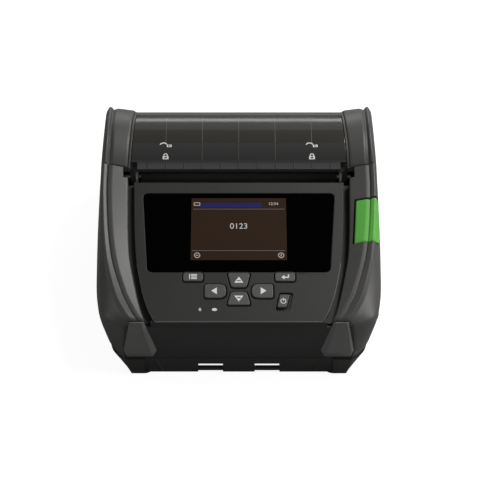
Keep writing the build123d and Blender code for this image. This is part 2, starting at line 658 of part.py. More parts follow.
with BuildPart() as cover_frame:
    for side in (-1, 1):
        turned([(side * x, r) for x, r in WING_SECTION], TURN_START, 0)
        wall_in = side * (WING_WALL_X - WALL)
        with BuildSketch(Plane.YZ.offset(wall_in)):
            with Locations((COVER_Y, COVER_Z)):
                Circle(COVER_R - 0.8)
        extrude(amount=side * WALL)
        # ear for the platen's shaft, hung from the ring
        ear = side * EAR_X
        with BuildSketch(Plane.YZ.offset(ear)) as ear_face:
            with Locations((PLATEN_Y, PLATEN_Z)):
                Circle(5.6)
            Polygon(*EAR_POINTS, align=None)
            with Locations((COVER_Y, COVER_Z)):
                Circle(LEDGE_R - 0.4, mode=Mode.INTERSECT)
        extrude(amount=side * EAR_T)
    # rear skin and the rail under the window's front lip
    turned([(-58, LEDGE_R), (58, LEDGE_R), (58, COVER_R - 0.1), (-58, COVER_R - 0.1)], WINDOW_REAR - 0.3, 2)
    turned([(-58, LEDGE_R - 1.8), (58, LEDGE_R - 1.8), (58, LEDGE_R), (-58, LEDGE_R)], WINDOW_FRONT + 2, 124)
    turned([(-58, LEDGE_R - 1.6), (58, LEDGE_R - 1.6), (58, LEDGE_R), (-58, LEDGE_R)], WINDOW_REAR + 4, WINDOW_REAR - 4)
    # keep what lies behind the seam and over the side split
    block(-80, 80, COVER_FRONT_Y, HALF_DEPTH, COVER_LOW_Z, 82, Mode.INTERSECT)
    # hinge knuckles
    for side in (-1, 1):
        start = KNUCKLE_INNER + KNUCKLE_GAP
        low, high = sorted((side * start, side * (start + KNUCKLE_L)))
        rod(HINGE_R, low, high, HINGE_Y, HINGE_Z)
        plate(
            [(COVER_Y + LEDGE_R + 0.3, COVER_LOW_Z + 0.4), (COVER_Y + LEDGE_R - 0.3, COVER_LOW_Z + 6),
             (HINGE_Y, HINGE_Z + HINGE_R - 0.1), (HINGE_Y, HINGE_Z - 2.1)],
            low, high,
        )
    rod(PIN_R + RUN, -60, 60, HINGE_Y, HINGE_Z, Mode.SUBTRACT)
    rod(BUSH_R, -61, 61, PLATEN_Y, PLATEN_Z, Mode.SUBTRACT)
    # keeper for the latch hook, on the right wing's wall
    block(HOOK_X0, WING_WALL_X - 1, SEAM_Y + 2, SEAM_Y + 5, HOOK_Z + 3.1, HOOK_Z + 5.1)
save(cover_frame, "cover_frame")

with BuildPart() as cover_window:
    turned(
        [(-WINDOW_HALF, COVER_R - COVER_SKIN), (WINDOW_HALF, COVER_R - COVER_SKIN), (WINDOW_HALF, COVER_R),
         (-WINDOW_HALF, COVER_R)],
        WINDOW_FRONT + 4, WINDOW_REAR,
    )
    block(-80, 80, COVER_FRONT_Y - 0.6, HALF_DEPTH, COVER_LOW_Z, 82, Mode.INTERSECT)
save(cover_window, "cover_window")

with BuildPart() as hinge_pin:
    rod(PIN_R, -KNUCKLE_INNER - 2 * KNUCKLE_L - 1, KNUCKLE_INNER + 2 * KNUCKLE_L + 1, HINGE_Y, HINGE_Z)
    chamfer(hinge_pin.edges(), 0.3)
save(hinge_pin, "hinge_pin")

# Platen roller on its shaft, turning in flanged bushes
with BuildPart() as platen_roller:
    rod(PLATEN_R, -ROLLER_HALF, ROLLER_HALF, PLATEN_Y, PLATEN_Z)
    rod(SHAFT_R, -ROLLER_HALF, ROLLER_HALF, PLATEN_Y, PLATEN_Z, Mode.SUBTRACT)
save(platen_roller, "platen_roller")

SHAFT_LEFT = GEAR_X - 0.8
SHAFT_RIGHT = EAR_X + EAR_T + 2.2
with BuildPart() as platen_shaft:
    rod(SHAFT_R, SHAFT_LEFT, SHAFT_RIGHT, PLATEN_Y, PLATEN_Z)
save(platen_shaft, "platen_shaft")

with BuildPart() as platen_bushes:
    for side in (-1, 1):
        low, high = sorted((side * EAR_X, side * (EAR_X + EAR_T)))
        rod(BUSH_R, low, high, PLATEN_Y, PLATEN_Z)
        low, high = sorted((side * (EAR_X - 1.2), side * EAR_X))
        rod(BUSH_R + 1, low, high, PLATEN_Y, PLATEN_Z)
    rod(SHAFT_R + RUN, -61, 61, PLATEN_Y, PLATEN_Z, Mode.SUBTRACT)
save(platen_bushes, "platen_bushes")


# Gear train from the motor to the platen
def toward(start, end):
    length = hypot(end[0] - start[0], end[1] - start[1])
    return ((end[0] - start[0]) / length, (end[1] - start[1]) / length)


def pitch_radius(teeth):
    return MODULE * teeth / 2


# the platen leaves its idler along the cover's swing, so the idler lies straight under that path
platen_at = (PLATEN_Y, PLATEN_Z)
swing = toward((0, 0), (PLATEN_Z - HINGE_Z, HINGE_Y - PLATEN_Y))
reach_a = pitch_radius(PLATEN_TEETH) + pitch_radius(IDLER_A_TEETH)
idler_a_at = (PLATEN_Y - swing[0] * reach_a, PLATEN_Z - swing[1] * reach_a)
TRAIN_ANGLE = radians(195)
train = (cos(TRAIN_ANGLE), sin(TRAIN_ANGLE))
reach_b = pitch_radius(IDLER_A_TEETH) + pitch_radius(IDLER_B_TEETH)
idler_b_at = (idler_a_at[0] + train[0] * reach_b, idler_a_at[1] + train[1] * reach_b)
reach_c = pitch_radius(IDLER_B_TEETH) + pitch_radius(PINION_TEETH)
pinion_at = (idler_b_at[0] + train[0] * reach_c, idler_b_at[1] + train[1] * reach_c)


def next_phase(phase, teeth, start, next_teeth, end):
    """Angle of a tooth on the next gear that puts a gap where the first gear's tooth is."""
    line = atan2(end[1] - start[1], end[0] - start[0])
    share = (line - phase) * teeth / (2 * pi)
    return line + pi - (0.5 - share) * 2 * pi / next_teeth


def gear_face(teeth, phase, bore):
    """Straight-flanked teeth in the open sketch, with play at the flanks and the roots."""
    radius = pitch_radius(teeth)
    pitch = 2 * pi / teeth
    outer, root = radius + 0.75 * MODULE, radius - 1.1 * MODULE
    points = []
    for i in range(teeth):
        mid = phase + i * pitch
        for angle, r in ((-0.3, root), (-0.11, outer), (0.11, outer), (0.3, root)):
            points.append((r * cos(mid + angle * pitch), r * sin(mid + angle * pitch)))
    Polygon(*points, align=None)
    Circle(bore, mode=Mode.SUBTRACT)


def gear(teeth, phase, centre, bore, hub=None):
    with BuildPart() as wheel:
        with BuildSketch(Plane.YZ.offset(GEAR_X)):
            with Locations(centre):
                gear_face(teeth, phase, bore)
        extrude(amount=GEAR_T)
        if hub:
            with BuildSketch(Plane.YZ.offset(GEAR_X + GEAR_T)):
                with Locations(centre):
                    Circle(hub)
                    Circle(bore, mode=Mode.SUBTRACT)
            extrude(amount=0.8)
    return wheel


phase_platen = 0.0
phase_a = next_phase(phase_platen, PLATEN_TEETH, platen_at, IDLER_A_TEETH, idler_a_at)
phase_b = next_phase(phase_a, IDLER_A_TEETH, idler_a_at, IDLER_B_TEETH, idler_b_at)
phase_c = next_phase(phase_b, IDLER_B_TEETH, idler_b_at, PINION_TEETH, pinion_at)
platen_gear = gear(PLATEN_TEETH, phase_platen, platen_at, SHAFT_R)
save(platen_gear, "platen_gear")
idler_gear_upper = gear(IDLER_A_TEETH, phase_a, idler_a_at, AXLE_R + RUN, hub=3.0)
save(idler_gear_upper, "idler_gear_upper")
idler_gear_lower = gear(IDLER_B_TEETH, phase_b, idler_b_at, AXLE_R + RUN, hub=3.0)
save(idler_gear_lower, "idler_gear_lower")
motor_pinion = gear(PINION_TEETH, phase_c, pinion_at, 1.0)
save(motor_pinion, "motor_pinion")

GEAR_PLATE_OUT = GEAR_X + GEAR_T + 1.0
GEAR_PLATE_T = 2.5       # reaches the outer face of the bay's cheek
with BuildPart() as gear_plate:
    with BuildSketch(Plane.YZ.offset(GEAR_PLATE_OUT)):
        Polygon(
            (pinion_at[0] - 13, pinion_at[1] - 12), (pinion_at[0] + 8, pinion_at[1] - 12),
            (idler_a_at[0] + 9, idler_a_at[1] - 10), (idler_a_at[0] + 9, idler_a_at[1] + 5),
            (idler_a_at[0] - 6, idler_a_at[1] + 9), (pinion_at[0] - 4, pinion_at[1] + 14),
            (pinion_at[0] - 13, pinion_at[1] + 12), align=None,
        )
        with Locations(pinion_at):
            Circle(3.2, mode=Mode.SUBTRACT)
    extrude(amount=GEAR_PLATE_T)
save(gear_plate, "gear_plate")

with BuildPart() as gear_axles:
    for centre in (idler_a_at, idler_b_at):
        rod(AXLE_R, GEAR_X - 0.8, GEAR_PLATE_OUT, *centre)
save(gear_axles, "gear_axles")

MOTOR_FACE = GEAR_PLATE_OUT + GEAR_PLATE_T
with BuildPart() as feed_motor:
    rod(MOTOR_R, MOTOR_FACE, MOTOR_FACE + MOTOR_L, *pinion_at)
    fillet(feed_motor.edges().filter_by(GeomType.CIRCLE), 0.8)
    rod(MOTOR_R - 3, MOTOR_FACE + MOTOR_L, MOTOR_FACE + MOTOR_L + 1.2, *pinion_at)
    # mounting ears that lie on the gear plate
    with BuildSketch(Plane.YZ.offset(MOTOR_FACE)):
        with Locations(pinion_at):
            SlotOverall(2 * MOTOR_R + 4, 6)
    extrude(amount=1.0)
save(feed_motor, "feed_motor")

with BuildPart() as motor_shaft:
    rod(1.0, GEAR_X - 0.6, MOTOR_FACE, *pinion_at)
save(motor_shaft, "motor_shaft")


# Roll bay: tub with its cheeks, which also carry the print head and the gear plate
CHEEK_FRONT = -26.0
BAY_LIP_Y = 71.6
CHEEK_TOP_Z = 56.0
bay_outer = [
    (BAY_FRONT_Y, BAY_RIM_Z), (BAY_FRONT_Y, 16), (20, BAY_FLOOR_Z), (62, BAY_FLOOR_Z),
    (BAY_REAR_Y, 19), (BAY_REAR_Y, BAY_RIM_Z),
]
bay_inner = [
    (BAY_FRONT_Y + BAY_WALL, BAY_RIM_Z + 1), (BAY_FRONT_Y + BAY_WALL, 16.8), (20.9, BAY_FLOOR_Z + BAY_WALL),
    (61.1, BAY_FLOOR_Z + BAY_WALL), (BAY_REAR_Y - BAY_WALL, 19.8), (BAY_REAR_Y - BAY_WALL, BAY_RIM_Z + 1),
]
cheek = [
    (CHEEK_FRONT, 27), (BAY_FRONT_Y, 27), (BAY_FRONT_Y, 16), (20, BAY_FLOOR_Z), (62, BAY_FLOOR_Z),
    (BAY_REAR_Y, 19), (BAY_REAR_Y, BAY_RIM_Z), (7.5, BAY_RIM_Z), (7.5, CHEEK_TOP_Z), (-6, CHEEK_TOP_Z),
    (CHEEK_FRONT, 46),
]
RAIL_R = 2.0
RAILS = [(20.0, 14.0), (68.5, 18.6)]
RAIL_TUBE_R = 3.3
with BuildPart() as media_bay:
    plate(bay_outer, -BAY_HALF - BAY_WALL, BAY_HALF + BAY_WALL)
    for side in (-1, 1):
        low, high = sorted((side * BAY_HALF, side * (BAY_HALF + BAY_WALL)))
        plate(cheek, low, high)
    plate(bay_inner, -BAY_HALF, BAY_HALF, Mode.SUBTRACT)
    # lip under the cover's rear edge
    block(-BAY_HALF, BAY_HALF, BAY_LIP_Y, BAY_REAR_Y, BAY_RIM_Z - BAY_WALL, BAY_RIM_Z)
    for y, z in RAILS:
        rod(RAIL_R, -BAY_HALF - 3, BAY_HALF + 3, y, z, Mode.SUBTRACT)
    # the motor's can passes through the left cheek
    rod(MOTOR_R + 3, -BAY_HALF - 3, -BAY_HALF + 1, *pinion_at, Mode.SUBTRACT)
save(media_bay, "media_bay")

with BuildPart() as guide_rails:
    for y, z in RAILS:
        rod(RAIL_R, -BAY_HALF - BAY_WALL, BAY_HALF + BAY_WALL, y, z)
save(guide_rails, "guide_rails")

# Roll guides with a nub for the roll's core, moved together by two racks and a pinion
GUIDE_X = 55.0           # outer face of a guide when wide open
GUIDE_T = 2.4
GUIDE_R = 20.0
CORE_R = 6.0
RACK_Z = 5.0
RACK_H = 2.6
RACK_W = 3.2
RACK_PAST = 8.0          # the rack ends this far past the pinion
PINION_R_TEETH = 14
RACK_PITCH = pi * MODULE
rack_offset = pitch_radius(PINION_R_TEETH)


def media_guide(side):
    inner = side * (GUIDE_X - GUIDE_T)
    with BuildPart() as guide:
        with BuildSketch(Plane.YZ.offset(side * GUIDE_X)):
            with Locations((ROLL_Y, ROLL_Z)):
                Circle(GUIDE_R)
            # legs down to the rails and the rack
            front_y, front_z = RAILS[0]
            rear_y, rear_z = RAILS[1]
            Polygon((front_y - 2.5, front_z + 1.5), (front_y + 2.5, front_z - 2.5), (38, 24), (28, 32), align=None)
            Polygon((rear_y + 2.5, rear_z + 2.5), (58, 32), (50, 24), (rear_y - 3, rear_z - 2), align=None)
            leg = ROLL_Y - side * (rack_offset + MODULE + 1.0)
            Polygon((leg - 3, RACK_Z), (leg + 3, RACK_Z), (leg + 3, 24), (leg - 3, 24), align=None)
        extrude(amount=-side * GUIDE_T)
        for y, z in RAILS:
            low, high = sorted((side * GUIDE_X, side * (GUIDE_X - 9)))
            rod(RAIL_TUBE_R, low, high, y, z)
        with BuildSketch(Plane.YZ.offset(inner)):
            with Locations((ROLL_Y, ROLL_Z)):
                Circle(CORE_R)
        extrude(amount=-side * 6, taper=12)
        # rack along the floor, towards the pinion and past it
        rack_y = ROLL_Y - side * rack_offset
        back = rack_y - side * (MODULE + RACK_W)
        length = GUIDE_X + RACK_PAST
        count = int(length / RACK_PITCH)
        with BuildSketch(Plane.XY.offset(RACK_Z)):
            points = [(side * GUIDE_X, back), (side * GUIDE_X, rack_y - side * 1.1 * MODULE)]
            for i in range(count):
                # teeth stand half a pitch from the pinion's own tooth at the middle
                mid = side * (GUIDE_X - 4) - side * i * RACK_PITCH
                mid = round(mid / RACK_PITCH) * RACK_PITCH + RACK_PITCH / 2
                for share, depth in ((-0.3, -1.1), (-0.11, 0.75), (0.11, 0.75), (0.3, -1.1)):
                    points.append((mid - side * share * RACK_PITCH, rack_y + side * depth * MODULE))
            points.append((points[-1][0] - side * 1.0, points[-1][1]))
            points.append((points[-1][0], back))
            Polygon(*points, align=None)
        extrude(amount=RACK_H)
        for y, z in RAILS:
            rod(RAIL_R + RUN, -BAY_HALF, BAY_HALF, y, z, Mode.SUBTRACT)
    return guide


media_guide_left = media_guide(-1)
save(media_guide_left, "media_guide_left")
media_guide_right = media_guide(1)
save(media_guide_right, "media_guide_right")

GUIDE_POST_R = 1.4
with BuildPart() as guide_post:
    with Locations((0, ROLL_Y, BAY_FLOOR_Z + BAY_WALL)):
        Cylinder(GUIDE_POST_R, RACK_H + 1.0, align=(Align.CENTER, Align.CENTER, Align.MIN))
save(guide_post, "guide_post")

with BuildPart() as guide_pinion:
    with BuildSketch(Plane.XY.offset(RACK_Z)):
        with Locations((0, ROLL_Y)):
            gear_face(PINION_R_TEETH, pi / 2, GUIDE_POST_R + RUN)
    extrude(amount=RACK_H)
save(guide_pinion, "guide_pinion")

with BuildPart() as label_sensor:
    block(-8, 8, BAY_FRONT_Y + BAY_WALL, BAY_FRONT_Y + BAY_WALL + 2.5, 34, 39.5)
    chamfer(label_sensor.edges().filter_by(Axis.X), 0.5)
save(label_sensor, "label_sensor")


# Print head under the panel's upper edge, pressed against the platen
NIP = Vector(0, -0.85, -0.527).normalized()
HEAD_GAP = 0.3
contact = Vector(0, PLATEN_Y, PLATEN_Z) + NIP * (PLATEN_R + HEAD_GAP)
HEAD = Plane(origin=contact, x_dir=(1, 0, 0), z_dir=NIP)
HEAD_HALF = 56.0
HEAD_LOW, HEAD_HIGH = -7.5, 4.0
HEAD_SIGN = 1 if HEAD.y_dir.Z > 0 else -1
CERAMIC_T = 1.0
SINK_T = 3.6
SPRING_R = 2.4
SPRING_X = 34.0
SPRING_PLAY = 0.7        # play between the springs and the heat sink
BRACKET_N = 10.5


def on_head(x0, x1, low, high, n0, n1, mode=Mode.ADD):
    """A block in the head's frame: across, up along the head, and away from the platen."""
    a, b = sorted((HEAD_SIGN * low, HEAD_SIGN * high))
    with BuildSketch(HEAD.offset(n0)) as outline:
        with Locations(((x0 + x1) / 2, (a + b) / 2)):
            Rectangle(x1 - x0, b - a)
    extrude(outline.sketch, amount=n1 - n0, mode=mode)


with BuildPart() as printhead:
    on_head(-ROLLER_HALF, ROLLER_HALF, HEAD_LOW + 1, HEAD_HIGH, 0, CERAMIC_T)
save(printhead, "printhead")

pivot = contact + HEAD.y_dir * HEAD_SIGN * (HEAD_LOW - 1.2) + NIP * (CERAMIC_T + SINK_T / 2)
PIVOT_Y, PIVOT_Z = pivot.Y, pivot.Z
with BuildPart() as head_heatsink:
    on_head(-HEAD_HALF, HEAD_HALF, HEAD_LOW, HEAD_HIGH, CERAMIC_T, CERAMIC_T + SINK_T)
    for x in (-50, -15, 15, 50):
        rod(2.3, x - 4, x + 4, PIVOT_Y, PIVOT_Z)
    rod(PIN_R + RUN, -60, 60, PIVOT_Y, PIVOT_Z, Mode.SUBTRACT)
save(head_heatsink, "head_heatsink")

with BuildPart() as head_pivot_pin:
    rod(PIN_R, -BAY_HALF - BAY_WALL, BAY_HALF + BAY_WALL, PIVOT_Y, PIVOT_Z)
save(head_pivot_pin, "head_pivot_pin")

with BuildPart() as head_bracket:
    on_head(-BAY_HALF, BAY_HALF, -4, 4, BRACKET_N, BRACKET_N + 1.6)
save(head_bracket, "head_bracket")

spring_start = CERAMIC_T + SINK_T + SPRING_PLAY
with BuildPart() as head_springs:
    for x in (-SPRING_X, SPRING_X):
        with BuildSketch(HEAD.offset(spring_start)):
            with Locations((x, 0)):
                Circle(SPRING_R)
        extrude(amount=BRACKET_N - spring_start)
save(head_springs, "head_springs")

# Battery, its tray and contacts
TRAY_WALL = 1.5
TRAY_HEAD_ROOM = 2.4
CONTACT_T = 1.8
with BuildPart() as battery_pack:
    block(-BATTERY_HALF, BATTERY_HALF, BATTERY_FRONT, BATTERY_REAR, BATTERY_Z, BATTERY_TOP)
    fillet(battery_pack.edges().filter_by(Axis.Z), 2.0)
    # finger notch in the underside
    block(-12, 12, BATTERY_FRONT - 1, BATTERY_FRONT + 5, 0, BATTERY_Z + 2.5, Mode.SUBTRACT)
save(battery_pack, "battery_pack")

with BuildPart() as battery_tray:
    block(
        -BATTERY_HALF - FIT - TRAY_WALL, BATTERY_HALF + FIT + TRAY_WALL, BATTERY_FRONT - FIT - TRAY_WALL,
        BATTERY_REAR + FIT + TRAY_WALL, BASE_LIFT + FLOOR, BATTERY_TOP + TRAY_HEAD_ROOM + TRAY_WALL,
    )
    block(
        -BATTERY_HALF - FIT, BATTERY_HALF + FIT, BATTERY_FRONT - FIT, BATTERY_REAR + FIT,
        BASE_LIFT + FLOOR - 1, BATTERY_TOP + TRAY_HEAD_ROOM, Mode.SUBTRACT,
    )
save(battery_tray, "battery_tray")

tray_ceiling = BATTERY_TOP + TRAY_HEAD_ROOM
with BuildPart() as battery_contacts:
    block(-9, 9, BATTERY_REAR - 6, BATTERY_REAR - 1, tray_ceiling - CONTACT_T, tray_ceiling)
save(battery_contacts, "battery_contacts")

# Side port: board with its socket, and the flap over it
IO_BOARD_X = 58.6
with BuildPart() as port_board:
    block(IO_BOARD_X, IO_BOARD_X + 1.6, PORT_FRONT + 6, PORT_REAR + 2, BASE_LIFT + FLOOR, 33)
save(port_board, "port_board")

SOCKET_MID_Y = (PORT_FRONT + PORT_REAR) / 2 + 2
SOCKET_MID_Z = 24.0
with BuildPart() as usb_socket:
    block(IO_BOARD_X + 1.6, 67.0, SOCKET_MID_Y - 4.5, SOCKET_MID_Y + 4.5, SOCKET_MID_Z - 1.9, SOCKET_MID_Z + 1.9)
    fillet(usb_socket.edges().filter_by(Axis.X), 1.5)
    block(IO_BOARD_X + 3, 68.0, SOCKET_MID_Y - 4.0, SOCKET_MID_Y + 4.0, SOCKET_MID_Z - 1.4, SOCKET_MID_Z + 1.4, Mode.SUBTRACT)
    block(IO_BOARD_X + 3, 66.4, SOCKET_MID_Y - 3.2, SOCKET_MID_Y + 3.2, SOCKET_MID_Z - 0.35, SOCKET_MID_Z + 0.35)
save(usb_socket, "usb_socket")

FLAP_T = 1.8


def flap_outline(y, inset):
    """The housing's side between the port's low and high edges, with the flap's thickness."""
    part, wide = along(y, PART_LINE), along(y, WIDE_LINE)

    def width(z):
        return part + (wide - part) * (z - PART_Z) / (WIDE_Z - PART_Z)

    low, high = PORT_LOW + FIT, PORT_HIGH - FIT
    return [(width(low) - inset, low), (width(low), low), (width(high), high), (width(high) - inset, high)]


flap_front, flap_rear = PORT_FRONT + FIT, PORT_REAR - FIT
with BuildPart() as port_cover:
    lengthwise([flap_front, -65, -58, flap_rear], lambda y: flap_outline(y, FLAP_T))
save(port_cover, "port_cover")

flap_line = [flap_outline(y, 0)[1] for y in (flap_front, -65, -58, flap_rear)]
print("panel length", round(PANEL_LENGTH, 2), "gear centres", idler_a_at, idler_b_at, pinion_at)
print("head pivot", round(PIVOT_Y, 3), round(PIVOT_Z, 3), "flap edge", flap_line)
print("latch axis", seat_x(LATCH_MID), LATCH_MID, seat_z(LATCH_MID) + LATCH_LIFT, "ratio rack", 1000 / rack_offset)
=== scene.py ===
"""Looks of the portable label printer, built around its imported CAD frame.

Sizes are in millimetres until a mesh is made.
"""

import json
import math

import bmesh
import bpy
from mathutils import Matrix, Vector


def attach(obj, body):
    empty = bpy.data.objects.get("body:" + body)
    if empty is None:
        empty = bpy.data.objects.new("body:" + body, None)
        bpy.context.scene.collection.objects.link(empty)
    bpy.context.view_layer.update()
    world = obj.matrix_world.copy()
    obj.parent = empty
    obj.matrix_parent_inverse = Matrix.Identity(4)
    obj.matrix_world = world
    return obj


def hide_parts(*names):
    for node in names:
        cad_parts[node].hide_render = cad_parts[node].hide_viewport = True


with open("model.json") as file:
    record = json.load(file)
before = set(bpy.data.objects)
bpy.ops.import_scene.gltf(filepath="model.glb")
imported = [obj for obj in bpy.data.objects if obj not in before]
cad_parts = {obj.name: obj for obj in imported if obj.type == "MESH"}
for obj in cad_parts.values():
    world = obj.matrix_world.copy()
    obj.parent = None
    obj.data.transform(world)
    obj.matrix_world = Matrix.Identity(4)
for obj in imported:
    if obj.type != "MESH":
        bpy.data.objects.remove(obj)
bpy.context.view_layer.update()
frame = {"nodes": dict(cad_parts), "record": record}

MM = 0.001
HALF_DEPTH = 81.0
WALL = 2.5
BASE_LIFT = 0.8
BASE_FRONT = -79.6
BASE_FACE = BASE_FRONT + 1.2
PART_Z = 11.5
TUCK_Z = 17.2
WIDE_Z = 34.0
SIDE_SPLIT_Z = 42.0
SEAM_Y = 9.0
FRONT_PLATE_Y = -78.5
CREASE_Y, CREASE_Z = -78.0, 39.0
PANEL_TOP_Y, PANEL_TOP_Z = 3.0, 64.0
SEAT_DROP = 4.0
SLOPE = math.atan2(PANEL_TOP_Z - CREASE_Z, PANEL_TOP_Y - CREASE_Y)
SIN, COS = math.sin(SLOPE), math.cos(SLOPE)

# Half widths along the depth, as (y, half width)
FOOT_LINE = [
    (-81, 56.5), (-78.5, 57.6), (-76, 58.8), (-71.5, 60.8), (-58, 64.5),
    (-40, 66), (60, 66), (72, 64), (81, 58),
]
PART_LINE = [
    (-81, 58), (-78.5, 61), (-76, 64.4), (-71.5, 67.2), (-58, 70),
    (-40, 71.5), (60, 71.5), (72, 70), (81, 64),
]
WIDE_LINE = [
    (-81, 57), (-78.5, 59.4), (-76, 66), (-71.5, 72.2), (-60, 75.2),
    (-45, 76), (60, 76), (74, 75.6), (81, 71),
]
SHOULDER_LINE = [(-78.5, 58.2), (-75, 63.2), (-70, 67.8), (-62, 71.8), (-50, 74.4), (-28, 75.6), (9, 75.8)]
PANEL_LINE = [(-78.5, 43.6), (-71.6, 47.2), (-60.7, 50.8), (-37.8, 54.9), (9, 57.4)]
INNER_LINE = [(-78.5, 48.4), (-73, 50.6), (-62, 53.6), (-39.4, 58.0), (9, 60.4)]
GROOVE_LINE = [(-78.5, 51.3), (-73.7, 55.2), (-63.7, 60.9), (-42.3, 67.4), (-10, 70.9), (9, 71.2)]
RIDGE_LINE = [(-78.5, 56.9), (-73.7, 61.3), (-63.7, 66.5), (-42.3, 71.6), (-10, 74.2), (9, 74.5)]

# Heights over the panel's plane, as (y, height)
CREST_RISE = [(-78.5, 0.7), (-63, 3.0), (-40, 4.6), (9, 5.5)]
INNER_RISE = [(-78.5, 0.5), (-60, 1.4), (-38, 2.3), (9, 3.5)]
RIDGE_RISE = [(-78.5, 0.8), (-63, 3.2), (-40, 5.3), (9, 6.9)]

COVER_Y, COVER_Z, COVER_R = 34.0, 41.0, 37.0
COVER_FRONT_Y, COVER_LOW_Z = 9.3, 42.3
COVER_WALL_R = 36.0
WINDOW_HALF = 57.2
RAIL_HALF = 58.0
HINGE_Y, HINGE_Z, HINGE_R, PIN_R = 75.5, 44.5, 2.9, 1.5
PLATEN_Y, PLATEN_Z = 16.0, 57.0


def along(y, line):
    """The line's value at y, on a smooth curve through its points."""
    if y <= line[0][0]:
        return line[0][1]
    for i in range(len(line) - 1):
        (y0, a), (y1, b) = line[i], line[i + 1]
        if y <= y1:
            before = line[max(i - 1, 0)]
            after = line[min(i + 2, len(line) - 1)]
            span = y1 - y0
            m0 = (b - before[1]) / (y1 - before[0])
            m1 = (after[1] - a) / (after[0] - y0)
            t = (y - y0) / span
            return (
                (2 * t**3 - 3 * t**2 + 1) * a
                + (t**3 - 2 * t**2 + t) * span * m0
                + (3 * t**2 - 2 * t**3) * b
                + (t**3 - t**2) * span * m1
            )
    return line[-1][1]


def panel_z(y):
    return CREASE_Z + (y - CREASE_Y) * (PANEL_TOP_Z - CREASE_Z) / (PANEL_TOP_Y - CREASE_Y)


def seat_z(y):
    return panel_z(y) - SEAT_DROP


def stations(start, end, step):
    """Evenly spaced values from start to end, about a step apart."""
    count = max(1, round(abs(end - start) / step))
    return [start + (end - start) * i / count for i in range(count + 1)]


def clamped(value):
    return min(1.0, max(0.0, value))


def rounded(points, cuts, steps=4):
    """A closed outline with corner i rounded over the length cuts[i]. The count of points never varies."""
    out = []
    for i, (point, cut) in enumerate(zip(points, cuts)):
        p = Vector(point)
        if cut == 0:
            out.append(tuple(p))
            continue
        a, b = Vector(points[i - 1]) - p, Vector(points[(i + 1) % len(points)]) - p
        back = p + a * min(cut / max(a.length, 1e-6), 0.48)
        on = p + b * min(cut / max(b.length, 1e-6), 0.48)
        for k in range(steps + 1):
            t = k / steps
            out.append(tuple(back * (1 - t) ** 2 + p * 2 * t * (1 - t) + on * t * t))
    return out


def round_in(reach, radius):
    """How far an end rounded at this radius has drawn in, at this distance from its tip."""
    if reach >= radius:
        return 0.0
    return radius - math.sqrt(max(radius**2 - (radius - reach) ** 2, 0.0))


def circle(u, v, radius, count=48):
    turns = [2 * math.pi * i / count for i in range(count)]
    return [(u + radius * math.cos(turn), v + radius * math.sin(turn)) for turn in turns]


def oblong(u0, u1, v0, v1):
    return [(u0, v0), (u1, v0), (u1, v1), (u0, v1)]


def both_sides(side):
    """A whole outline from its right half."""
    return side + [(-u, v) for u, v in reversed(side)]


def signed_area(points):
    """Twice an outline's area, positive when it runs anticlockwise."""
    return sum(points[i - 1][0] * points[i][1] - points[i][0] * points[i - 1][1] for i in range(len(points)))


def mesh_of(verts, faces):
    mesh = bpy.data.meshes.new("part")
    mesh.from_pydata([(x * MM, y * MM, z * MM) for x, y, z in verts], [], faces)
    bm = bmesh.new()
    bm.from_mesh(mesh)
    bmesh.ops.recalc_face_normals(bm, faces=bm.faces)
    bm.to_mesh(mesh)
    bm.free()
    return mesh


def skin(rings):
    """A closed solid through rings that all have the same number of points."""
    n = len(rings[0])
    faces = []
    for r in range(len(rings) - 1):
        for i in range(n):
            j = (i + 1) % n
            faces.append((r * n + i, r * n + j, (r + 1) * n + j, (r + 1) * n + i))
    faces.append(tuple(range(n)))
    faces.append(tuple(range((len(rings) - 1) * n, len(rings) * n)))
    return mesh_of([v for ring in rings for v in ring], faces)


def box(x0, x1, y0, y1, z0, z1):
    return skin([[(x, y, z) for x, y in oblong(x0, x1, y0, y1)] for z in (z0, z1)])


def prism(outline, x0, x1):
    """A solid with one section in y and z, between two places across."""
    return skin([[(x, y, z) for y, z in outline] for x in (x0, x1)])


def plate(outline, y0, y1):
    """A solid with one section in x and z, between two depths."""
    return skin([[(x, y, z) for x, z in outline] for y in (y0, y1)])


def place_panel(u, v, w):
    """From across, up and out of the panel's plane, with the crease as its foot."""
    return (u, CREASE_Y + v * COS - w * SIN, CREASE_Z + v * SIN + w * COS)


def place_side(u, v, w):
    """From y, z and the place across."""
    return (w, u, v)


def flat(outer, low, high, place, holes=(), bevel=0.0, rounds=2):
    """A plate between two heights, from its outline and holes, with bevelled rims."""
    curve = bpy.data.curves.new("outline", "CURVE")
    curve.dimensions = "2D"
    curve.fill_mode = "BOTH"
    curve.extrude = (high - low) / 2 - bevel
    curve.bevel_depth = bevel
    curve.bevel_resolution = rounds
    curve.offset = -bevel
    for points, turn in [(outer, 1)] + [(hole, -1) for hole in holes]:
        if signed_area(points) * turn < 0:
            points = points[::-1]
        spline = curve.splines.new("POLY")
        spline.points.add(len(points) - 1)
        for slot_point, (u, v) in zip(spline.points, points):
            slot_point.co = (u, v, 0, 1)
        spline.use_cyclic_u = True
    holder = bpy.data.objects.new("outline", curve)
    bpy.context.scene.collection.objects.link(holder)
    bpy.context.view_layer.update()
    shape = bpy.data.meshes.new_from_object(holder.evaluated_get(bpy.context.evaluated_depsgraph_get()))
    mid = (high + low) / 2
    verts = [place(v.co.x, v.co.y, v.co.z + mid) for v in shape.vertices]
    faces = [tuple(p.vertices) for p in shape.polygons]
    bpy.data.objects.remove(holder)
    bpy.data.curves.remove(curve)
    bpy.data.meshes.remove(shape)
    mesh = mesh_of(verts, faces)
    bm = bmesh.new()
    bm.from_mesh(mesh)
    bmesh.ops.remove_doubles(bm, verts=bm.verts, dist=1e-7)
    bmesh.ops.recalc_face_normals(bm, faces=bm.faces)
    bm.to_mesh(mesh)
    bm.free()
    return mesh


